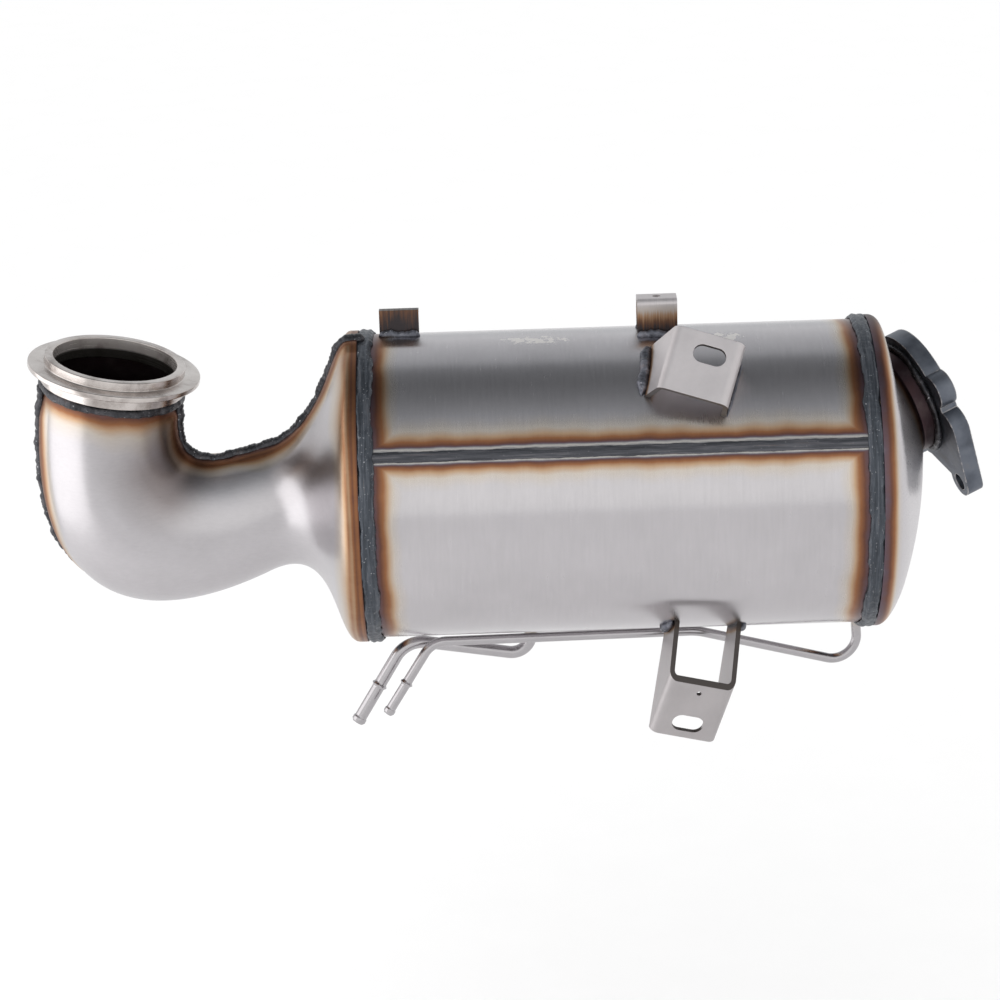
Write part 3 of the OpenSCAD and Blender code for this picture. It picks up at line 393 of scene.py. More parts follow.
# Painted shade: the front shell is darkened near the inner seam around the tight bend, where the concave saddle is in
# shade.
front_bend_shade = heat_from(bend_gap, (0, 0.8), (18, 0.9), (32, 0.74), (52, 0)) * smooth_step(elbow_t, -0.05, 0.24) \
    * (1 - smooth_step(elbow_t, 0.42, 0.74))
put_sheet("elbow_front", front_skin, front_back, elbow_steel, ["elbow_front_shell"],
          [("heat_mark", front_heat, INSIDE_SHADE_HEAT), ("shade_mark", front_bend_shade, 1)])

# Rear half: a plain edge that reaches under the lip
LAP, LAP_COVER = 8.0, 12
lap_depth = LAP * smooth_step(elbow_t, 0.06, 0.2)
rear_edge, far_edge = seam_turn(elbow_t, 1, lap_depth), seam_turn(elbow_t, -1, lap_depth) - 2 * math.pi
rear_half = rear_edge + (far_edge - rear_edge) * np.linspace(0, 1, 150)[None]
wide_t = elbow_t * np.ones_like(rear_half)
rear_skin = elbow_at(wide_t, rear_half, 0 * wide_t)
rear_back = elbow_at(wide_t, rear_half, 0 * wide_t - SHEET)
rear_gap = np.minimum(np.linalg.norm(rear_skin - rear_skin[:, :1], axis=-1),
                      np.linalg.norm(rear_skin - rear_skin[:, -1:], axis=-1)) - LAP_COVER
rear_heat = elbow_heat(rear_skin, np.maximum(rear_gap, 0))
put_sheet("elbow_rear", rear_skin, rear_back, elbow_steel, ["elbow_rear_shell"],
          [("heat_mark", rear_heat, INSIDE_SHADE_HEAT), ("shade_mark", 0, 1)])

# Seam welds. A hand-laid bead of weld metal fills the corner beside each edge of the front lip. It is
# lumpy, rippled like scales and dark with oxide.


def weld_metal(name, tone=(0.05, 0.05, 0.056), glint=0.5, stretch=(1.0, 1.0, 1.0)):
    """Rough oxidised weld: dark blue grey, brown in places, with fine grit and bright specks painted in as highlights;
    the noise is drawn out along the bead by unlike scales of the axes."""
    node, whole, end = new_material(name)
    place = stretched(node, whole, stretch)
    cloud = noise(node, place, 160.0, 6.0, 0.65)
    scale = ramp(node, cloud, [[0.30, tuple(0.55 * c for c in tone)], [0.50, tone],
                               [0.62, (tone[0] * 1.7, tone[1] * 1.65, tone[2] * 1.6)],
                               [0.74, (tone[0] * 1.9, tone[1] * 1.4, tone[2] * 1.1)]])
    # Painted highlight: small pale specks in the base colour stand for glints of light.
    painted_glint = spread(node, noise(node, whole, 900.0, 2.0, 0.5), 0.66, 0.74, 0.0, glint)
    grit = noise(node, place, 500.0, 4.0, 0.6)
    return end(node("BsdfPrincipled", {"Base Color": mixed(node, painted_glint, scale, (0.75, 0.75, 0.78, 1)),
                                       "Metallic": 0.75, "Roughness": spread(node, cloud, 0.3, 0.7, 0.28, 0.50),
                                       "Normal": bumped(node, grit, 0.30, 0.0006)}))


dark_weld = weld_metal("oxidised_weld")


def full_turn(count):
    """Angles once round, in equal steps."""
    return np.linspace(0, 2 * math.pi, count, endpoint=False)


def bead_grid(path, across, out, wide, high, seed, lump=0.22, scale_len=1.7, close=False, sink=0.5, ridges=0,
              taper=2.0, sway=0.12):
    """Weld bead along a path: a flattened oval section spanned by the across and out directions, whose
    width and height wander, with ripples bent back like fish scales, or with ridges along its length."""
    step = np.linalg.norm(np.diff(path, axis=0, append=path[:1] if close else path[-1:]), axis=1)
    run = np.concatenate([[0], np.cumsum(step)[:-1]])[:, None]
    angle = full_turn(28)[None]
    fade = 1.0 if close else np.clip(np.minimum(run, run[-1] - run) / taper + 0.02, 0, 1) ** 0.5
    period = run[-1, 0] + step[-1]
    lap = run / period * 2 * math.pi
    loop = (np.cos(lap) * period / 6.283, np.sin(lap) * period / 6.283)
    walk = (lambda s, k: 0.7 * wander(loop[0], s, k) + 0.7 * wander(loop[1], s, k + 50)) if close else \
        (lambda s, k: wander(run, s, k))
    width = wide / 2 * (1 + lump * walk(26, seed))
    height = high * (1 + lump * walk(19, seed + 1))
    drift = wide * sway * walk(34, seed + 2)
    phase = run / scale_len + 0.55 * np.cos(angle) ** 2 + 0.35 * walk(9, seed + 3)
    scales = 0.04 * high * (1 - 2 * np.abs(phase % 1 - 0.5) ** 0.7)
    if ridges:
        scales = 0.16 * high * np.cos(2 * ridges * angle + 1.6 * walk(60, seed + 3)) + 0.3 * scales
    over = np.maximum(np.sin(angle), 0)
    w = fade * (width * np.cos(angle) * (1 + 0.18 * lump * walk(5, seed + 4))) + drift
    h = fade * (np.where(np.sin(angle) > 0, height * over ** 0.8, sink * np.sin(angle)) + scales * over)
    return path[:, None] + across[:, None] * w[..., None] + out[:, None] * h[..., None]


def lay_beads(name, grids, material, stands_for, close=False):
    """Closed mesh of one or more beads of a size, capped at their ends unless they run round."""
    rows, cols = grids[0].shape[:2]
    starts = np.arange(len(grids)) * rows * cols
    faces = np.concatenate([grid_faces(rows, cols, close, True) + start for start in starts])
    caps = [] if close else [start + end + np.arange(cols) for start in starts for end in (0, (rows - 1) * cols)]
    return put_piece(name, np.concatenate(grids), faces, material, stands_for, caps=caps, sharp=180)


seam_t = np.concatenate([np.linspace(-1.5, 0, 12)[:-1], np.linspace(0, 2, 900), np.linspace(2, 10, 20)[1:]])
for side, label, seed in ((1, "inner", 11), (-1, "outer", 31)):
    middle, beside = seam_turn(seam_t, side, -1.6), seam_turn(seam_t, side, -3.2)
    base = elbow_at(seam_t, middle, 0 * seam_t + 0.6)
    seam_out = elbow_at(seam_t, middle, 0 * seam_t + 1.6) - base
    seam_side = unit(elbow_at(seam_t, beside, 0 * seam_t + 0.6) - base)
    grid = bead_grid(base, seam_side, seam_out, wide=6.2, high=3.1, seed=seed)
    lay_beads("elbow_%s_seam_bead" % label, [grid], dark_weld, ["elbow_%s_seam_weld" % label])

# Inlet flange. A turned V-band flange: a bright machined lip, a conical rim for the clamp and a plain hub
# whose socket takes the top of the elbow. The turning marks run round it.


def turned_steel(name):
    """Machined steel: fine rings round the inlet axis in the bump and the roughness, faint stains; the bore
    is painted dark as shade below its first few millimetres."""
    node, place, end = new_material(name)
    lean = node("Mapping", {"Vector": place, "Rotation": (0.0, -LEAN, 0.0)}).outputs["Vector"]
    fine = noise(node, stretched(node, lean, (30.0, 30.0, 4200.0)), 1.0, 3.0, 0.6)
    stain = noise(node, place, 48.0, 6.0, 0.6)
    colour = ramp(node, stain, [[0.32, (0.34, 0.302, 0.282)], [0.46, (0.60, 0.553, 0.527)],
                                [0.66, (0.72, 0.675, 0.648)]])
    bore = mark(node, "bore_mark")
    depth = facing(node, place, (inlet_down[0], 0.0, inlet_down[1]))
    # Painted shade: the bore darkens to near black deeper than about 5.5 mm along the inlet axis.
    darkened = maths(node, "MULTIPLY", spread(node, depth, 0.0052, 0.0064, 0.0, 0.94), bore)
    round_it = node("Tangent", direction_type="RADIAL", axis="Z").outputs["Tangent"]
    return end(node("BsdfPrincipled", {"Base Color": mixed(node, darkened, colour, (0.022, 0.020, 0.016, 1)),
                                       "Metallic": spread(node, bore, 0.0, 1.0, 1.0, 0.7),
                                       "Roughness": spread(node, fine, 0.25, 0.75, 0.16, 0.30),
                                       "Normal": bumped(node, fine, 0.10, 0.0003), "Tangent": round_it,
                                       "Anisotropic": 0.6, "Anisotropic Rotation": 0.25}))


def rounded(profile, radius, parts=4):
    """Closed profile with each corner cut into a short arc: a quadratic curve over the corner."""
    profile = np.asarray(profile, float)
    before, after = np.roll(profile, 1, 0) - profile, np.roll(profile, -1, 0) - profile
    reach = np.minimum(radius, 0.4 * np.minimum(np.linalg.norm(before, axis=1), np.linalg.norm(after, axis=1)))
    start, end = profile + unit(before) * reach[:, None], profile + unit(after) * reach[:, None]
    t = np.linspace(0, 1, parts)[None, :, None]
    arc = start[:, None] * (1 - t) ** 2 + 2 * profile[:, None] * t * (1 - t) + end[:, None] * t ** 2
    return arc.reshape(-1, 2)


def inlet_revolve(profile, count=256):
    """Closed profile of radius and height turned about the leaning inlet axis."""
    angle = full_turn(count)[:, None]
    r, h = profile[None, :, 0], profile[None, :, 1]
    side = r * np.cos(angle)
    return np.stack([side * inlet_side[0] - h * inlet_down[0], r * np.sin(angle) + 0 * h,
                     side * inlet_side[1] - h * inlet_down[1]], -1)


FLANGE_BORE, FLANGE_LIP, FLANGE_RIM, FLANGE_HUB, HUB_END = 31.2, 35.5, 43.5, 36.5, 14.0
rim_back = (FLANGE_RIM - FLANGE_HUB) * math.tan(math.radians(20))
flange_profile = rounded([(FLANGE_BORE, 0), (FLANGE_LIP, 0), (FLANGE_LIP, -4.5), (FLANGE_RIM, -4.5),
                          (FLANGE_RIM, -7.1), (FLANGE_HUB, -7.1 - rim_back), (FLANGE_HUB, -HUB_END),
                          (NECK_R + 0.05, -HUB_END), (NECK_R + 0.05, -NECK_TOP), (FLANGE_BORE, -NECK_TOP)], 0.6)
flange_steel = turned_steel("turned_flange_steel")
flange_grid = inlet_revolve(flange_profile)
put_piece("inlet_flange_turned", flange_grid, grid_faces(*flange_grid.shape[:2], True, True), flange_steel,
          ["inlet_flange"],
          [("bore_mark", np.tile(flange_profile[:, 0] < FLANGE_BORE + 0.3, len(flange_grid)))], sharp=50)

# Inlet flange weld. One hand-laid bead of weld metal round the neck, under the hub, which it holds. It is dark
# grey, above the coloured band on the neck.
ring_turn = full_turn(900)
WELD_MID, WELD_R = 16.2, NECK_R + 0.4
ring_out = np.stack([np.cos(ring_turn) * inlet_side[0], np.sin(ring_turn), np.cos(ring_turn) * inlet_side[1]], -1)
ring_down = np.tile([inlet_down[0], 0, inlet_down[1]], (len(ring_turn), 1))
ring_path = WELD_R * ring_out + WELD_MID * ring_down
flange_bead = bead_grid(ring_path, ring_down, ring_out, wide=4.8, high=2.7, seed=5, lump=0.2, close=True, sink=0.3)
lay_beads("inlet_flange_bead", [flange_bead], dark_weld, ["inlet_flange_weld"], close=True)

# Can. Sheet rolled into a tube and welded along one seam; the mill finish runs round it, with soft
# stains, and the heat of the seam and the end rings has coloured it.
CAN_START, CAN_END, SEAM_ROLL = 120.2, 381.2, math.radians(59)
SEAM_FROM, SEAM_TO = 131.2, 370.2
UP_TAP, DOWN_TAP = 205.2, 374.7


def can_at(x, roll, r):
    """Point at a roll from the top toward the front, at a radius about the can's axis."""
    return np.stack([x + 0 * roll, -r * np.sin(roll) + 0 * x, r * np.cos(roll) - CAN_DROP + 0 * x], -1)


can_x = np.unique(np.concatenate([np.linspace(CAN_START, CAN_END, 90), np.linspace(129, 147, 30),
                                  np.linspace(354, 372, 30)]))[:, None]
can_roll = np.unique(np.concatenate([full_turn(180), SEAM_ROLL + np.linspace(-15, 15, 100) / CAN_R]))[None]
can_skin = can_at(can_x, can_roll, CAN_R + 0 * can_x)
can_back = can_at(can_x, can_roll, CAN_R - SHEET + 0 * can_x)
seam_side = (can_roll - SEAM_ROLL + math.pi) % (2 * math.pi) - math.pi
seam_gap = np.abs(seam_side) * CAN_R * np.where(seam_side < 0, 0.82, 1.0) - 1.8
ripple = 1 + 0.05 * np.sin(can_x * 0.11) + 0.04 * np.sin(can_x * 0.37 + 1)
round_ripple = 1 + 0.08 * np.sin(can_roll * 5) + 0.05 * np.sin(can_roll * 17 + 2)
seam_heat = heat_from(np.maximum(seam_gap, 0) * ripple, (0, 1), (1.5, 0.80), (2.0, 0.66), (2.7, 0.54), (4.2, 0.40),
                      (6, 0.26), (8.5, 0.12), (14, 0))
end_gap = np.minimum(np.abs(can_x - SEAM_FROM + 1.5), np.abs(can_x - SEAM_TO - 1.5))
end_heat = heat_from(end_gap * round_ripple, (0, 0.64), (1.8, 0.56), (3.6, 0.46), (5.4, 0.36), (7.2, 0.22),
                     (10, 0.08), (14, 0))
can_heat = np.maximum(seam_heat, end_heat)
can_flake = np.maximum(np.exp(-((can_x - 212) / 24) ** 2 - ((can_roll - 0.06) / 0.10) ** 2),
                       np.exp(-((can_x - 307) / 10) ** 2 - ((can_roll - 0.10) / 0.12) ** 2))
can_steel = heated_steel("rolled_can_steel", (900.0, 60.0, 60.0), rough=0.25, bump=0.008, pale=0.99, brushed=0.8)
put_sheet("can_tube", can_skin, can_back, can_steel, ["can_shell"],
          [("heat_mark", can_heat, can_heat), ("flake_mark", can_flake, 0)], True)

# Can seam weld. A narrow bead of weld metal, machine-laid along the joint of the rolled can. It is dark and
# low, with a light line along each side.
seam_x = np.linspace(SEAM_FROM - 4, SEAM_TO + 4, 1500)
seam_path = can_at(seam_x, SEAM_ROLL + 0 * seam_x, CAN_R + 0 * seam_x)
seam_up = np.tile([0, -math.sin(SEAM_ROLL), math.cos(SEAM_ROLL)], (len(seam_x), 1))
seam_over = np.tile([0, -math.cos(SEAM_ROLL), -math.sin(SEAM_ROLL)], (len(seam_x), 1))
seam_weld = weld_metal("seam_weld_metal", tone=(0.075, 0.077, 0.088), glint=0.1, stretch=(0.2, 5.0, 5.0))
seam_bead = bead_grid(seam_path, seam_over, seam_up, wide=5.4, high=0.7, seed=77, lump=0.04, scale_len=6.0,
                      sink=0.2, ridges=2, sway=0.04)
lay_beads("can_seam_bead", [seam_bead], seam_weld, ["can_seam_weld"])

# Ring welds. A wide bead of weld metal, laid while the can turns, joins the elbow's skirt and the outlet cone
# to the can. It is blue grey and ridged along its length.
ring_roll = full_turn(1700)
roll_out = np.stack([0 * ring_roll, -np.sin(ring_roll), np.cos(ring_roll)], -1)
along_x = np.tile([1.0, 0, 0], (len(ring_roll), 1))
ring_weld = weld_metal("ring_weld_metal", tone=(0.068, 0.077, 0.092), glint=0.45, stretch=(5.0, 0.3, 0.3))
CONE_EDGE, RING_IN = 379.2, 3.5
for label, x, seed in (("inlet", ELBOW_REACH + RING_IN, 101), ("outlet", CONE_EDGE - RING_IN, 131)):
    bead = bead_grid(x * along_x + (CAN_R + 0.3) * roll_out + np.array([0, 0, -CAN_DROP]), along_x, roll_out,
                     wide=8.3, high=2.2, seed=seed, lump=0.07, scale_len=2.4, close=True, sink=0.2, ridges=3,
                     sway=0.10)
    lay_beads("%s_ring_bead" % label, [bead], ring_weld, ["%s_ring_weld" % label], close=True)

# Outlet cone. An end pressed from stainless sheet, which leads from the can into the slanted outlet neck. It is
# browned beside its ring weld, and at the neck beside the plate it is browned by heat and painted dark as shade.
CONE_SKIRT, SHOULDER, CONE_R, OUTLET_R, CONE_COLS = 2.0, 18.0, SKIRT_R, 27.5, 300
NECK_X, NECK_RUN, NECK_IN, SHOULDER_SHARE = 18.957, 9.0, 5.4, 0.5
OUTLET_YAW, OUTLET_RISE = 20, 18
NECK_Y, NECK_Z = 31 - NECK_RUN * 0.32528, 28 - NECK_RUN * 0.30902
outlet_axis, plate_at = np.array([0.8937, 0.3253, 0.3090]), np.array([406.2, 31, -45])


def cone_ring(r, ahead, share, extra):
    """Rings of the outlet cone: each is tilted toward the outlet axis by its share of the way in."""
    yaw, rise = np.radians(OUTLET_YAW * share), np.radians(OUTLET_RISE * share)
    axis = np.stack([np.cos(yaw) * np.cos(rise), np.sin(yaw) * np.cos(rise), np.sin(rise)], -1)
    side = np.stack([-np.sin(yaw), np.cos(yaw), 0 * yaw], -1)
    up = np.cross(axis, side)
    middle = np.stack([CONE_EDGE + ahead, NECK_Y * share, NECK_Z * share - CAN_DROP], -1) + axis * extra[:, None]
    turn = full_turn(CONE_COLS)
    return middle[:, None] + (side[:, None] * np.cos(turn)[None, :, None]
                              + up[:, None] * np.sin(turn)[None, :, None]) * r[:, None, None]


arc = np.radians(np.linspace(0, 72, 24))
deep = np.linspace(0, 1, 60)[1:]
skirt_s = np.linspace(0, CONE_SKIRT, 5)[:-1]
neck_s = np.linspace(0, NECK_RUN + NECK_IN, 14)[1:]
shoulder_r = CONE_R - SHOULDER * (1 - np.cos(arc))
cone_radius = np.concatenate([CONE_R + 0 * skirt_s, shoulder_r, shoulder_r[-1] + (OUTLET_R - shoulder_r[-1])
                              * np.sin(np.pi / 2 * deep), OUTLET_R + 0 * neck_s])
face_run = NECK_X - CONE_SKIRT
cone_ahead = np.concatenate([skirt_s, CONE_SKIRT + face_run * SHOULDER_SHARE * np.sin(arc) / math.sin(arc[-1]),
                             CONE_SKIRT + face_run * (SHOULDER_SHARE + (1 - SHOULDER_SHARE) * deep),
                             NECK_X + 0 * neck_s])
cone_share = np.clip((CONE_R - cone_radius) / (CONE_R - OUTLET_R), 0, 1) ** 1.3
cone_extra = np.concatenate([np.zeros(len(skirt_s) + len(arc) + len(deep)), neck_s])
cone_skin = cone_ring(cone_radius, cone_ahead, cone_share, cone_extra)
slope = np.gradient(cone_skin, axis=0)
turnway = np.roll(cone_skin, -1, 1) - np.roll(cone_skin, 1, 1)
inward = unit(np.cross(slope, turnway))
inward *= np.sign(np.sum(inward * (cone_skin.mean(1, keepdims=True) - cone_skin), -1, keepdims=True).mean())
cone_back = cone_skin + SHEET * inward
cone_steps = np.linalg.norm(np.diff(cone_skin, axis=0), axis=-1)
cone_gap = np.concatenate([np.zeros((1, CONE_COLS)), np.cumsum(cone_steps, axis=0)])
plate_gap = (plate_at - cone_skin) @ outlet_axis
cone_heat = np.maximum(heat_from(cone_gap, (0, 0.66), (2.2, 0.60), (4, 0.48), (5.8, 0.35), (7.6, 0.18), (9.6, 0.05),
                                 (13, 0)),
                       heat_from(plate_gap, (0, 0.66), (10, 0.66), (12, 0.46), (14, 0.2), (18, 0)))
# Painted shade: the neck beside the plate is darkened by its distance from the plate.
cone_neck_shade = heat_from(plate_gap, (0, 1), (12, 1), (17, 0.45), (27, 0))
cone_steel = heated_steel("pressed_cone_steel", (1500.0, 800.0, 800.0), rough=0.28, pale=1.08, bump=0.004)
put_sheet("outlet_cone_pressed", cone_skin, cone_back, cone_steel, ["outlet_cone"],
          [("heat_mark", cone_heat, cone_heat), ("shade_mark", cone_neck_shade, cone_neck_shade)], True)

# Outlet flange. A thick steel plate with an ear for each bolt, scaled blue grey with the edges chipped bright,
# and the hand-laid bead that holds it on the neck.


def scaled_plate(name):
    """Oxide-scaled steel plate: mottled blue grey, worn to bright metal along its edges."""
    node, place, end = new_material(name)
    cloud = noise(node, place, 70.0, 4.0, 0.5)
    scale = ramp(node, cloud, [[0.28, (0.075, 0.082, 0.098)], [0.46, (0.125, 0.138, 0.165)],
                               [0.60, (0.165, 0.18, 0.21)], [0.76, (0.20, 0.20, 0.21)]])
    round_edge = node("Bevel", {"Radius": 0.0009}, samples=6).outputs["Normal"]
    turn = facing(node, round_edge, node("NewGeometry").outputs["Normal"])
    chip = noise(node, place, 340.0, 4.0, 0.6)
    bare = maths(node, "MULTIPLY", spread(node, turn, 0.998, 0.95, 0.0, 1.0), spread(node, chip, 0.38, 0.60, 0.1, 1.0))
    return end(node("BsdfPrincipled", {"Base Color": mixed(node, bare, scale, (0.60, 0.57, 0.55, 1)),
                                       "Metallic": 0.9, "Roughness": spread(node, cloud, 0.3, 0.7, 0.30, 0.52),
                                       "Normal": bumped(node, chip, 0.22, 0.0005, Normal=round_edge)}))


def clothe(name, material):
    """Give a part of the frame its material, on its own mesh."""
    part = nodes[name]
    for one in (part if isinstance(part, (list, tuple)) else [part]):
        one.data.materials.clear()
        one.data.materials.append(material)
    return part


clothe("outlet_flange", scaled_plate("scaled_outlet_plate"))
plate_turn = full_turn(700)
plate_side = np.array([-math.sin(math.radians(OUTLET_YAW)), math.cos(math.radians(OUTLET_YAW)), 0])
plate_up = np.cross(outlet_axis, plate_side)
plate_out = np.cos(plate_turn)[:, None] * plate_side + np.sin(plate_turn)[:, None] * plate_up
plate_along = np.tile(outlet_axis, (len(plate_turn), 1))
plate_path = plate_at - 1.5 * outlet_axis + (OUTLET_R + 0.3) * plate_out
plate_bead = bead_grid(plate_path, plate_along, plate_out, wide=3.2, high=2.4, seed=151, close=True, sink=0.2)
lay_beads("outlet_flange_bead", [plate_bead], dark_weld, ["outlet_flange_weld"], close=True)

# Pressure tubes. Two bright drawn steel tubes come out of the underside, one behind the catalyst brick and
# one at the outlet; they run back under the can and end in a hose bead. A small weld seals each one.


def tube_line(corners, bends):
    """Polyline with each corner rounded: arc points between the tangent points, with unit directions."""
    corners = np.asarray(corners, float)
    ways = unit(np.diff(corners, axis=0))
    spots, heads = [corners[:1]], [ways[:1]]
    for corner, a, b, radius in zip(corners[1:-1], ways[:-1], ways[1:], bends):
        turn = math.acos(float(a @ b))
        inward = unit(b - a * (a @ b))
        middle = corner - a * radius * math.tan(turn / 2) + inward * radius
        s = np.linspace(0, turn, 24)[:, None]
        spots.append(middle + radius * (a * np.sin(s) - inward * np.cos(s)))
        heads.append(a * np.cos(s) + inward * np.sin(s))
    return np.concatenate(spots), np.concatenate(heads), corners[-1], ways[-1]


TUBE_WALL, DOWN_R, UP_R = 0.8, 2.5, 3.25


def tube_piece(name, corners, bends, radius, hose, material, stands_for):
    """Tube swept along its line; near the end the outside swells into a stop bead and a tip."""
    spots, heads, end, way = tube_line(corners, bends)
    straight = np.linspace(np.linalg.norm(end - spots[-1]), 0, 120)[1:]
    spots = np.concatenate([spots, end - way * straight[:, None]])
    heads = np.concatenate([heads, np.tile(way, (len(straight), 1))])
    back = np.concatenate([np.full(len(spots) - len(straight), 1e3), straight])
    swell = 0.9 * np.exp(-((back - hose) / 0.8) ** 2) + 0.45 * smooth_step(-back, -3.6, -2.8) \
        - 0.75 * smooth_step(-back, -1.2, 0)
    side = unit(np.cross(heads, np.array([0, 1.0, 0])))
    up = np.cross(heads, side)
    turn = full_turn(40)[None, :, None]
    round_way = side[:, None] * np.cos(turn) + up[:, None] * np.sin(turn)
    skin = spots[:, None] + round_way * (radius + swell)[:, None, None]
    bore = spots[:, None] + round_way * (radius - TUBE_WALL)
    depth = np.linalg.norm(spots - spots[0], axis=1)[:, None] + 0 * turn[..., 0]
    heat = heat_from(depth, (0, 0.5), (5, 0.4), (9, 0.1), (13, 0))
    return put_sheet(name, skin, bore, material, stands_for, [("heat_mark", heat, heat)], True)


tube_steel = heated_steel("drawn_tube_steel", (300.0, 900.0, 900.0), rough=0.22, bump=0.02, pale=0.84)
below = np.array([0, 0, -CAN_DROP])
down_corners = np.array([(DOWN_TAP, 0, -74.5), (DOWN_TAP, 0, -86.5), (DOWN_TAP + 1.8, 0, -109), (291, -12, -81.5),
                         (153.8, -12, -83), (129.5, -20, -119.5)]) + below
up_corners = np.array([(UP_TAP, 0, -74.5), (UP_TAP, 0, -97.5), (140.2, -2, -85.75), (113.2, -12, -127.5)]) + below
tube_piece("downstream_pressure_tube", down_corners, (10, 12, 25, 14), DOWN_R, 19, tube_steel, ["downstream_tube"])
tube_piece("upstream_pressure_tube", up_corners, (10, 16), UP_R, 23, tube_steel, ["upstream_tube"])
tap_turn = full_turn(240)
tap_out = np.stack([np.cos(tap_turn), np.sin(tap_turn), 0 * tap_turn], -1)
tap_down = np.tile([0, 0, -1.0], (len(tap_turn), 1))
for label, x, wall, tube_r in (("upstream", UP_TAP, CAN_R, UP_R), ("downstream", DOWN_TAP, CAN_R + 2.4, DOWN_R)):
    path = np.array([x, 0, 0]) + tap_out * (tube_r + 1.3)
    path[:, 2] = -CAN_DROP - np.sqrt(wall ** 2 - path[:, 1] ** 2)
    tap_bead = bead_grid(path, tap_out, tap_down, wide=2.6, high=2.2, seed=171, lump=0.2, close=True, sink=0.1)
    lay_beads("%s_tap_bead" % label, [tap_bead], dark_weld, ["%s_tap_weld" % label], close=True)

# Brackets. Two channels bent from thicker sheet and welded to the can by their flanges; the mill surface is
# pale and matt, the cut edges are dark, and a bead runs along each foot.


def bracket_sheet(name, heat_low, heat_high, upright, streak=(60.0, 60.0, 60.0), sway=0.3, pale=1.0):
    """Pale rolled sheet: soft mottling or streaks, dark cut edges where the face looks along the sheet's
    upright direction, and brown scale that creeps up from the foot by the radius about the can's axis."""
    node, place, end = new_material(name)
    cloud = noise(node, stretched(node, place, streak), 1.0, 7.0, 0.65)
    split = node("SeparateXYZ", {"Vector": place})
    lift = maths(node, "ADD", split.outputs["Z"], CAN_DROP * 0.001)
    span = node("CombineXYZ", {"Y": split.outputs["Y"], "Z": lift}).outputs["Vector"]
    radius = node("VectorMath", {0: span}, operation="LENGTH").outputs["Value"]
    creep = maths(node, "MULTIPLY", spread(node, radius, heat_low, heat_high, 0.85, 0.0),
                  spread(node, cloud, 0.25, 0.75, 1 - sway, 1 + sway))
    darkened = ramp(node, creep, [[0.0, (0.585, 0.552, 0.556)], [0.20, (0.50, 0.45, 0.41)], [0.38, (0.36, 0.22, 0.13)],
                               [0.58, (0.15, 0.075, 0.045)], [0.80, (0.045, 0.038, 0.04)]])
    sheet = tinted(node, darkened, spread(node, cloud, 0.25, 0.75, 0.90 * pale, 1.08 * pale))
    looks = facing(node, node("NewGeometry").outputs["True Normal"], tuple(upright))
    cut = spread(node, maths(node, "ABSOLUTE", looks), 0.25, 0.45, 0.0, 0.92)
    round_edge = node("Bevel", {"Radius": 0.0004}, samples=6).outputs["Normal"]
    grit = noise(node, place, 900.0, 3.0, 0.6)
    return end(node("BsdfPrincipled", {"Base Color": mixed(node, cut, sheet, (0.055, 0.045, 0.04, 1)),
                                       "Metallic": 0.75, "Roughness": spread(node, cloud, 0.3, 0.7, 0.34, 0.46),
                                       "Normal": bumped(node, grit, 0.10, 0.0003, Normal=round_edge)}))


def turn_matrix(x, y, z):
    """Rotation about X, then Y, then Z, in degrees."""
    a, b, c = np.radians([x, y, z])
    about_x = np.array([[1, 0, 0], [0, math.cos(a), -math.sin(a)], [0, math.sin(a), math.cos(a)]])
    about_y = np.array([[math.cos(b), 0, math.sin(b)], [0, 1, 0], [-math.sin(b), 0, math.cos(b)]])
    about_z = np.array([[math.cos(c), -math.sin(c), 0], [math.sin(c), math.cos(c), 0], [0, 0, 1]])
    return about_z @ about_y @ about_x


def foot_line(origin, turn, starts, ends):
    """Where lines of a flange, from starts to ends in its own Y and Z, first meet the can."""
    lift = lambda p: origin + np.stack([np.zeros(len(p)), p[:, 0], p[:, 1]], -1) @ turn.T
    a, b = lift(starts), lift(ends)
    p, d = a[:, 1:] + np.array([0, CAN_DROP]), (b - a)[:, 1:]
    aa, bb, cc = np.sum(d * d, 1), 2 * np.sum(p * d, 1), np.sum(p * p, 1) - CAN_R ** 2
    t = (-bb - np.sqrt(np.maximum(bb * bb - 4 * aa * cc, 0))) / (2 * aa)
    return a + (b - a) * t[:, None]


foot_share = np.linspace(0, 1, 260)[:, None]
lower_roll, upper_roll = math.radians(152.7), math.radians(35.8)
lean_to = lambda slant: 112 * np.array([math.sin(math.radians(slant)), math.cos(math.radians(slant))])
lower_from = np.array([4.5, 0]) * (1 - foot_share) + np.array([0, 33]) * foot_share
lower_to = lower_from + lean_to(37) * (1 - foot_share) + lean_to(49) * foot_share
upper_from = np.array([0, -16.7]) * (1 - foot_share) + np.array([0, 16.7]) * foot_share
upper_to = np.array([45.3, -16.7]) * (1 - foot_share) + np.array([45.3, 13.7]) * foot_share
lower_turn, upper_turn = turn_matrix(12, 16, 7), turn_matrix(-40.2, 15.2, -9.9)
# Painted light and shade: the one rolled sheet is made darker on the lower bracket, under the can, and lighter on the
# upper one.
clothe("lower_bracket", bracket_sheet("rolled_lower_sheet", 0.078, 0.083, lower_turn[:, 2], pale=0.78))
clothe("upper_bracket", bracket_sheet("rolled_upper_sheet", 0.078, 0.083, upper_turn[:, 2], pale=1.12))
brackets = (("lower", np.array([280.2, -133.5 * math.sin(lower_roll), 133.5 * math.cos(lower_roll) - CAN_DROP]),
             lower_turn, 17.5, 0, lower_from, lower_to),
            ("upper", np.array([292, -97.9 * math.sin(upper_roll), 97.9 * math.cos(upper_roll) - CAN_DROP]),
             upper_turn, 17.6, 17, upper_from, upper_to))
spatter_weld = weld_metal("foot_weld_metal", tone=(0.13, 0.135, 0.16), glint=0.8)
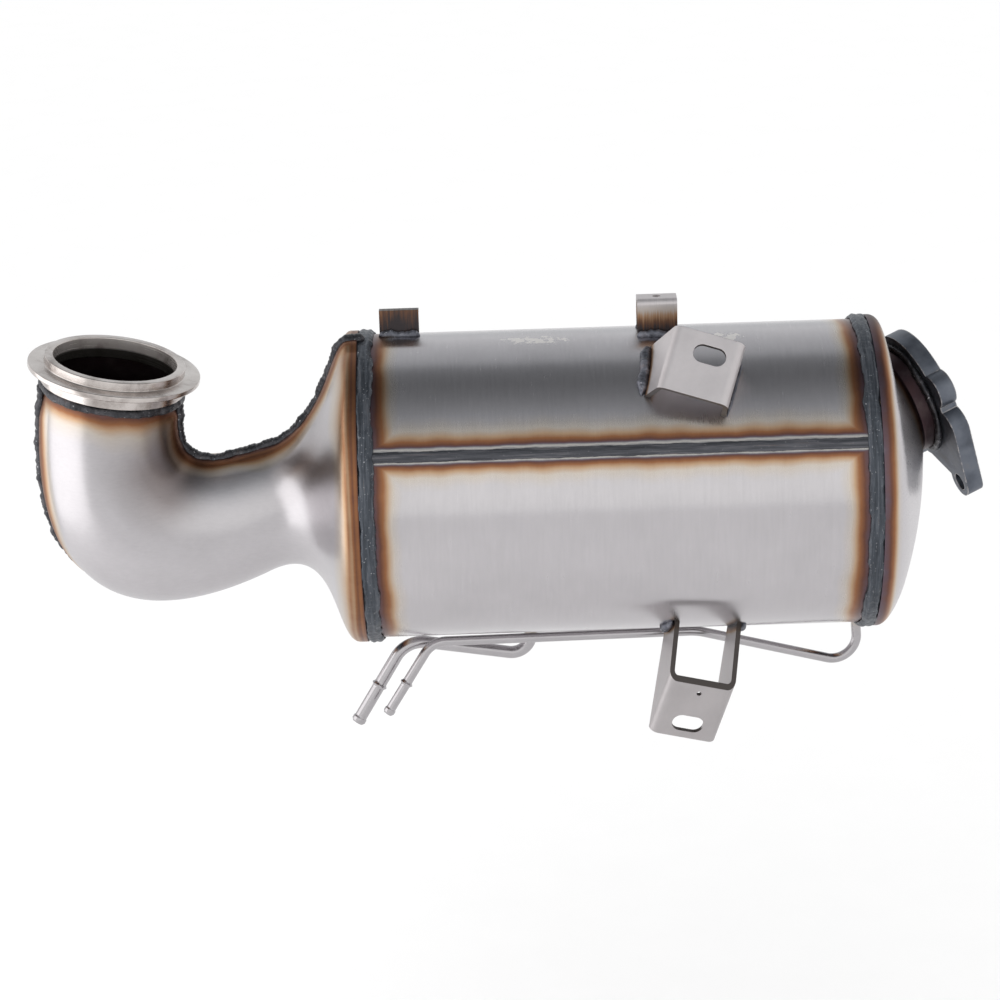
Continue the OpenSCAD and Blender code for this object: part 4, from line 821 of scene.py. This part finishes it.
for label, origin, turn, half, splay, starts, ends in brackets:
    grids = []
    for way in (-1, 1):
        flange_turn = turn @ turn_matrix(0, 0, splay if way < 0 else 0)
        line = foot_line(origin + turn @ np.array([way * half, 0, 0]), flange_turn, starts, ends)
        out = unit((line + np.array([0, 0, CAN_DROP])) * np.array([0, 1, 1]))
        over = np.tile(way * flange_turn[:, 0], (len(line), 1))
        over = unit(over - out * np.sum(over * out, 1, keepdims=True))
        wide = 5.4 if label == "lower" or way < 0 else 1.8
        grids.append(bead_grid(line + over * 0.32 * wide, over, out, wide, 0.6 * wide, seed=200 + way, lump=0.16,
                               sink=0.15, taper=7.0))
    lay_beads("%s_bracket_beads" % label, grids, spatter_weld, ["%s_bracket_welds" % label])

# Heat shield holders. A strap with a hole and a smaller tab, bent from sheet steel and welded on the crown of
# the can. The welds have browned them at the foot.
clothe("heat_shield_strap", bracket_sheet("browned_strap_sheet", 0.080, 0.0935, (0, 0, 0), (1400.0, 30.0, 30.0), 0.45))
clothe("heat_shield_tab", bracket_sheet("burnt_tab_sheet", 0.082, 0.115, (0, 0, 1), (1100.0, 40.0, 40.0), 0.3))
holder_x = np.linspace(-10.5, 10.5, 160)


def holder_bead(x, roll, y, way, seed):
    """Bead along X beside a holder's foot, at an offset across the crown of the can."""
    top = math.radians(roll) - math.asin(y / CAN_R)
    path = can_at(x + holder_x, top + 0 * holder_x, CAN_R + 0 * holder_x)
    out = np.tile([0, -math.sin(top), math.cos(top)], (len(path), 1))
    over = np.tile([0, way * math.cos(top), way * math.sin(top)], (len(path), 1))
    return bead_grid(path, over, out, wide=4.0, high=2.8, seed=seed, lump=0.28, sink=0.1)


strap_pair = [holder_bead(273.2, -3, way * 8.6, way, 230 + way) for way in (-1, 1)]
lay_beads("strap_beads", strap_pair, spatter_weld, ["strap_welds"])
lay_beads("tab_bead", [holder_bead(143.2, -8, -1.7, -1, 241)], spatter_weld, ["tab_weld"])

# Bricks and mats. The catalyst and the filter are cell-walled ceramic held in fibre mats inside the can; only
# the faces can be seen through the ends.


def honeycomb(name, wall_tone, hole_shade, pitch):
    """Square cells seen end on: the open cells painted dark as shade between pale walls, in a grid across the brick.
    """
    node, place, end = new_material(name)
    turned = node("Mapping", {"Vector": place, "Rotation": (0.0, math.pi / 2, 0.0),
                              "Scale": (1 / pitch, 1 / pitch, 1 / pitch)}).outputs["Vector"]
    # Painted shade: the cells' open channels are coloured dark.
    cells = node("TexBrick", {"Vector": turned, "Color1": hole_shade, "Color2": hole_shade, "Mortar": wall_tone,
                              "Scale": 1.0, "Mortar Size": 0.14, "Brick Width": 1.0, "Row Height": 1.0,
                              "Mortar Smooth": 0.1}, offset=0.0).outputs["Color"]
    grime = spread(node, noise(node, place, 40.0, 5.0, 0.6), 0.3, 0.7, 0.7, 1.1)
    return end(node("BsdfPrincipled", {"Base Color": tinted(node, cells, grime), "Roughness": 0.85}))


clothe("catalyst_brick", honeycomb("catalyst_honeycomb", (0.36, 0.31, 0.25, 1), (0.05, 0.04, 0.035, 1), 0.0013))
clothe("filter_brick", honeycomb("filter_honeycomb", (0.22, 0.21, 0.20, 1), (0.04, 0.04, 0.04, 1), 0.0016))


def fibre_mat(name):
    """Pressed fibre mat: pale, matt, with short tangled streaks."""
    node, place, end = new_material(name)
    weave = node("TexNoise", {"Vector": place, "Scale": 500.0, "Detail": 6.0, "Roughness": 0.7,
                              "Distortion": 1.5}).outputs["Fac"]
    colour = ramp(node, weave, [[0.3, (0.45, 0.40, 0.32)], [0.55, (0.66, 0.61, 0.53)], [0.75, (0.75, 0.72, 0.66)]])
    return end(node("BsdfPrincipled", {"Base Color": colour, "Roughness": 0.95,
                                       "Normal": bumped(node, weave, 0.5, 0.0008)}))


mat_fibre = fibre_mat("support_fibre_mat")
clothe("catalyst_mat", mat_fibre)
clothe("filter_mat", mat_fibre)

# Studio. A plain pale floor, even light, a surround for the metal to mirror, and one large soft lamp on the left.
FLOOR_Z = -0.40
floor_mesh = bpy.data.meshes.new("floor")
floor_mesh.from_pydata([(-8, -8, FLOOR_Z), (8, -8, FLOOR_Z), (8, 8, FLOOR_Z), (-8, 8, FLOOR_Z)], [], [(0, 1, 2, 3)])
floor = bpy.data.objects.new("floor", floor_mesh)
bpy.context.collection.objects.link(floor)
node, place, end = new_material("floor_paper")
grain = node("TexNoise", {"Vector": place, "Scale": 30.0, "Detail": 2.0}).outputs["Fac"]
paper = ramp(node, grain, [[0.3, (0.965, 0.965, 0.965)], [0.7, (0.975, 0.975, 0.975)]])
sheen = mixed(node, node("LightPath").outputs["Is Camera Ray"], (0.86, 0.86, 0.865, 1), paper)
floor_mesh.materials.append(end(node("BsdfDiffuse", {"Color": sheen})))

# What the metal reflects: levels by the angle from straight up toward the front, in degrees, and on the
# far left and right a share of one pale tone. All other light from around is even.
SKY_STOPS = [[-180, 0.86], [-90, 0.72], [-82, 0.68], [-72, 0.78], [-51, 0.61], [-40, 0.52], [-33, 0.42],
             [-27, 0.22], [-20, 0.165], [-10, 0.14], [2, 0.19], [16, 0.31], [24, 0.42], [36, 0.69], [50, 0.96],
             [65, 1.08], [80, 1.12], [95, 1.03], [120, 0.95], [180, 0.90]]
SIDE_STOPS = [[-0.84, 1.0], [-0.46, 0.0], [0.38, 0.0], [0.78, 0.6], [1.0, 0.5]]
SIDE_TONE, EVEN_LIGHT = (0.80, 0.79, 0.79, 1), (1.03, 1.03, 1.03, 1)
world = bpy.data.worlds.new("studio")
bpy.context.scene.world = world
world.use_nodes = True
world.node_tree.nodes.clear()
node = node_maker(world.node_tree)
way = node("SeparateXYZ", {0: node("TexCoord").outputs["Generated"]}).outputs
angle = maths(node, "ARCTAN2", maths(node, "MULTIPLY", way["Y"], -1.0), way["Z"])
around = ramp(node, spread(node, angle, -math.pi, math.pi, 0.0, 1.0),
              [[(turn + 180) / 360, (level * (0.95 + 0.05 * level), level * 1.01, level * (1.07 - 0.06 * level))]
               for turn, level in SKY_STOPS])
beside = ramp(node, spread(node, way["X"], -1.0, 1.0, 0.0, 1.0),
              [[(reach + 1) / 2, (share,) * 3] for reach, share in SIDE_STOPS])
mirrored = node("Background", {"Color": mixed(node, beside, around, SIDE_TONE)})
even = node("Background", {"Color": EVEN_LIGHT})
sky = node("MixShader", {0: node("LightPath").outputs["Is Glossy Ray"], 1: even.outputs[0], 2: mirrored.outputs[0]})
node("OutputWorld", {0: sky.outputs[0]})

lamp = bpy.data.lights.new("left_softbox", "AREA")
lamp.shape = "RECTANGLE"
lamp.size, lamp.size_y = 0.72, 0.70
lamp.energy = 1.7
lamp_object = bpy.data.objects.new("left_softbox", lamp)
lamp_object.matrix_world = Matrix(((0.19, 0, -0.98, -0.49), (-0.98, 0, -0.19, -0.11), (0, 1, 0, -0.04),
                                   (0, 0, 0, 1)))
lamp_object.visible_camera = False
bpy.context.collection.objects.link(lamp_object)

bpy.context.scene.view_settings.view_transform = "Standard"
